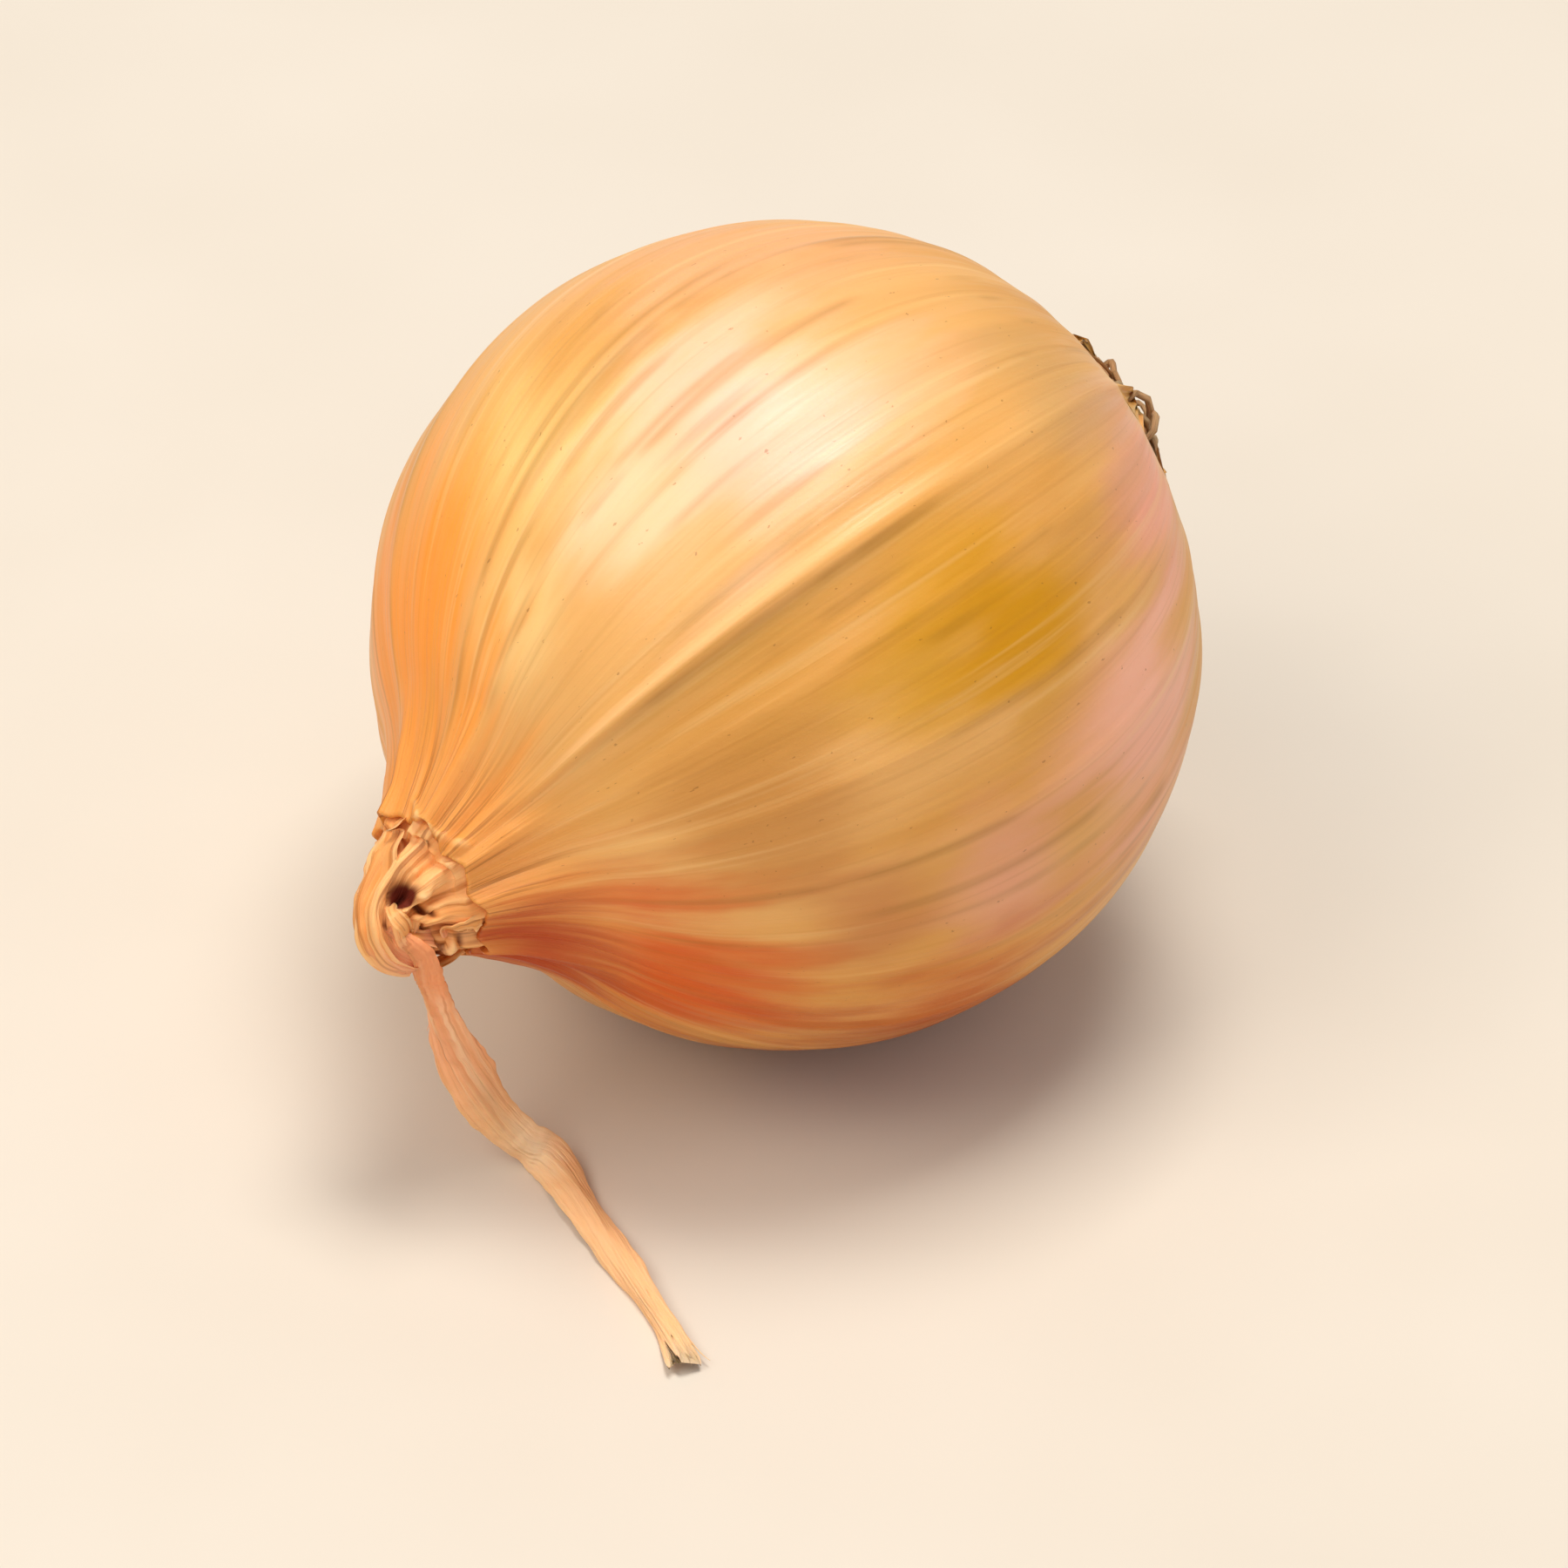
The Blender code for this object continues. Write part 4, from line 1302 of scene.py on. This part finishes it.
@dataclass(frozen=True)
class RootTuft:
    """The root end: fine curly threads matted over a corky plate in the dimple."""

    shape: BulbShape
    finish: Material
    plate_radius: float = 5.3
    plate_rise: float = 1.1
    plate_top: float = 0.8
    plate_rows: int = 44
    plate_columns: int = 96
    knob_height: float = 0.5
    knob_size: float = 0.9
    bends: int = 9
    rows: int = 12
    sides: int = 4
    sorts: tuple[ThreadSort, ...] = (
        ThreadSort(180, (0.5, 10), (4, 14), (0.8, 1.6), (0.5, 2.2), (0.16, 0.3), (0.3, 1.0)),
        ThreadSort(60, (2, 9), (8, 14), (1.0, 2.2), (0.3, 1.6), (0.18, 0.32), (0.45, 1.0)),
        ThreadSort(60, (0.5, 9), (1, 11), (0.8, 1.6), (0.8, 2.6), (0.2, 0.36), (0.0, 0.5)),
        ThreadSort(11, (8, 11), (17, 24), (0.5, 1.1), (0.1, 0.9), (0.14, 0.24), (0.0, 0.25), 0.2, 1.2),
    )

    def plate(self) -> None:
        """Builds the knobbly plate."""
        shape, top = self.shape, self.plate_top

        def place(share: float, angle: float) -> Spot:
            radius = self.plate_radius * min(share / top, 1.0)
            flat = Vector((radius * math.cos(angle), radius * math.sin(angle), 0))
            knob = noise.noise(flat / self.knob_size) + 0.5 * noise.noise(flat * 2 / self.knob_size)
            side = max(share - top, 0) / (1 - top)
            dome = self.plate_rise * (1 - 0.4 * (radius / self.plate_radius) ** 2)
            height = dome - side * (self.plate_rise + 1) + self.knob_height * knob * (1 - side)
            point = flat + Vector((0, 0, -shape.radius - height))
            # Paler where the knobs stand higher, with painted shade in the gaps between them.
            return Spot(point, tuple(flat + Vector((0, 0, height))), 0.2 + 0.5 * knob, 0.6 - knob)

        bm = new_sheets()
        add_tube(bm, self.plate_rows, self.plate_columns, place)
        add_piece(plain_mesh("root_plate", bm), shape.to_scene(), self.finish, Slot.ROOT)

    def thread_route(self, sort: ThreadSort, draw: random.Random) -> Route:
        """Draws one curly thread's route, from inside the plate, out and round.

        Args:
            sort: The thread's sort.
            draw: Where its numbers come from.

        Returns:
            The route in the bulb's own frame.
        """
        start = draw.uniform(0, math.tau)
        inner, outer = (math.radians(draw.uniform(*limits)) for limits in (sort.inner, sort.outer))
        curl = draw.choice((-1, 1)) * draw.uniform(*sort.curl)
        crest = draw.uniform(*sort.crest)
        phase, turns = draw.uniform(0, math.tau), draw.uniform(0.8, 2.0)
        wave = math.radians(sort.wave)
        points = [self.shape.root_point(start, inner, self.plate_rise / 2)]
        for step in range(1, self.bends + 1):
            share = step / self.bends
            swing = math.sin(phase + math.tau * turns * share)
            sway = math.cos(phase + math.tau * turns * share)
            spread = inner + (outer - inner) * share + wave * share * swing
            height = crest * (math.sin(math.pi * share**0.8) + 0.2 * sway) + 0.2 * draw.uniform(-1, 1)
            angle = start + curl * share + 0.25 * sway * share
            points.append(self.shape.root_point(angle, abs(spread), max(height, sort.least)))
        return Route(tuple(points))

    def threads(self) -> None:
        """Builds all the threads as one piece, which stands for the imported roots."""
        draw = random.Random(SEED + 6)
        bm = new_sheets()
        for sort in self.sorts:
            for number in range(sort.count):
                route = self.thread_route(sort, draw)
                sides = route.carried_sides(self.rows, route.heading(0).orthogonal())
                radius = draw.uniform(*sort.radius)
                tone = draw.uniform(*sort.tone)

                def place(share: float, around: float) -> Spot:
                    side = sides[round(share * self.rows)]
                    other = route.heading(share).cross(side)
                    spoke = side * math.cos(around) + other * math.sin(around)
                    point = route.at(share) + spoke * radius * (1 - 0.55 * share**2)
                    grain = (3 * math.cos(around) + number, 3 * math.sin(around), 12 * share)
                    # Each thread keeps its own tone, and painted shade darkens its first quarter, where the
                    # threads mat together at the plate.
                    return Spot(point, grain, tone, 0.9 * max(0.25 - share, 0) / 0.25)

                add_tube(bm, self.rows, self.sides, place)
        mesh = plain_mesh("root_threads", bm)
        add_piece(mesh, self.shape.to_scene(), self.finish, Slot.ROOT, "root_tuft")

    def build(self) -> None:
        """Builds the plate and the threads."""
        self.plate()
        self.threads()


def aimed(aim: Vector, away: Vector, distance: float) -> Matrix:
    """Returns the matrix of a light or a camera that faces the aim from a distance away."""
    turned = (-away).to_track_quat("-Z", "Y").to_matrix().to_4x4()
    return Matrix.Translation(aim + away * distance) @ turned


@dataclass(frozen=True)
class Softbox:
    """A rectangular studio light, aimed at the onion. Its sizes are in metres and its power in watts."""

    name: str
    direction: Triple
    distance: float
    width: float
    height: float
    power: float
    colour: str

    def build(self, aim: Vector) -> None:
        """Puts the light in the scene, facing the aim."""
        light = bpy.data.lights.new(self.name, "AREA")
        light.shape = "RECTANGLE"
        light.size, light.size_y = self.width, self.height
        light.energy = self.power
        light.color = linear(self.colour)[:3]
        lamp = bpy.data.objects.new(self.name, light)
        lamp.matrix_world = aimed(aim, Vector(self.direction).normalized(), self.distance)
        bpy.context.scene.collection.objects.link(lamp)


@dataclass(frozen=True)
class Studio:
    """A plain pale floor, soft light from above, and a camera that looks down from the neck's side."""

    azimuth: float = math.radians(-41.8)
    elevation: float = math.radians(38)
    camera_distance: float = 0.7
    frame_width: float = 0.098
    aim: Vector = field(default_factory=lambda: Vector((-3.8, -4.3, 18.3)) * MM)
    floor_size: float = 6.0
    floor_colours: tuple[str, str] = ("#DBD2C5", "#E3DBD0")
    mottle_size: float = 0.03
    sky_colour: str = "#FFFFFF"
    sky_strength: float = 0.38
    lights: tuple[Softbox, ...] = (
        Softbox("overhead_softbox", (0.16, 0.02, 0.98), 0.7, 0.34, 0.24, 3.4, "#FFFAF2"),
        Softbox("left_softbox", (-0.62, 0.12, 0.78), 0.8, 0.5, 0.4, 2.4, "#FFF4E6"),
        Softbox("front_fill", (-0.75, -0.6, 0.5), 1.2, 0.9, 0.9, 1.6, "#FFF2E2"),
    )

    def floor(self) -> None:
        """Lays the floor, in a matt finish with a faint mottle."""
        bm = bmesh.new()
        bmesh.ops.create_grid(bm, x_segments=1, y_segments=1, size=self.floor_size / 2)
        mesh = plain_mesh("pale_floor", bm)
        material = bpy.data.materials.new("matt_backdrop_paper")
        material.use_nodes = True
        tree = material.node_tree
        shader = tree.nodes["Principled BSDF"]
        place = add_node(tree, "ShaderNodeTexCoord").outputs["Object"]
        mottle = add_node(tree, "ShaderNodeTexNoise", {"Vector": place, "Scale": 1 / self.mottle_size})
        dark, pale = (linear(colour) for colour in self.floor_colours)
        inputs = {0: mottle.outputs["Fac"], MIX_A: dark, MIX_B: pale}
        colour = add_node(tree, "ShaderNodeMix", inputs, data_type="RGBA").outputs[MIX_RESULT]
        tree.links.new(colour, shader.inputs["Base Color"])
        shader.inputs["Roughness"].default_value = 0.8
        shader.inputs["Specular IOR Level"].default_value = 0.2
        mesh.materials.append(material)
        floor = bpy.data.objects.new("pale_floor", mesh)
        bpy.context.scene.collection.objects.link(floor)
        floor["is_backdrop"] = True

    def camera(self) -> None:
        """Sets up the camera at the photograph's viewing angle."""
        flat, up = math.cos(self.elevation), math.sin(self.elevation)
        back = Vector((math.sin(self.azimuth) * flat, -math.cos(self.azimuth) * flat, up))
        lens = bpy.data.cameras.new("camera")
        lens.lens = lens.sensor_width * self.camera_distance / self.frame_width
        lens.clip_start, lens.clip_end = 0.01, 20
        camera = bpy.data.objects.new("camera", lens)
        camera.matrix_world = aimed(self.aim, back, self.camera_distance)
        bpy.context.scene.collection.objects.link(camera)
        bpy.context.scene.camera = camera

    def build(self) -> None:
        """Builds the floor, the sky, the lights and the camera."""
        self.floor()
        world = bpy.data.worlds.new("soft_sky")
        world.use_nodes = True
        sky = world.node_tree.nodes["Background"]
        sky.inputs["Color"].default_value = linear(self.sky_colour)
        sky.inputs["Strength"].default_value = self.sky_strength
        scene = bpy.context.scene
        scene.world = world
        scene.view_settings.view_transform = "Standard"
        for light in self.lights:
            light.build(self.aim)
        self.camera()


def write_sizes() -> None:
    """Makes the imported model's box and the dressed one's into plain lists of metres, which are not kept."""
    boxes = {"cad": CAD_BOX, "visual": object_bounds()}
    {name: [list(corner) for corner in box] for name, box in boxes.items()}


def main() -> None:
    """Builds the onion's pieces in order, and then the studio."""
    logging.basicConfig(level=logging.INFO, format="%(message)s")
    shape = BulbShape()
    finishes = (GOLDEN_SKIN, DRY_STRAW, WITHERED_LEAF, DRY_ROOT)
    skin, straw, leaf, root = (finish.material() for finish in finishes)
    BulbSkin(shape, skin).build()
    SkinFlaps(shape, skin).build()
    DryNeck(shape, straw).build()
    WitheredLeaf(leaf).build()
    RootTuft(shape, root).build()
    Studio().build()
    write_sizes()


if __name__ == "__main__":
    main()
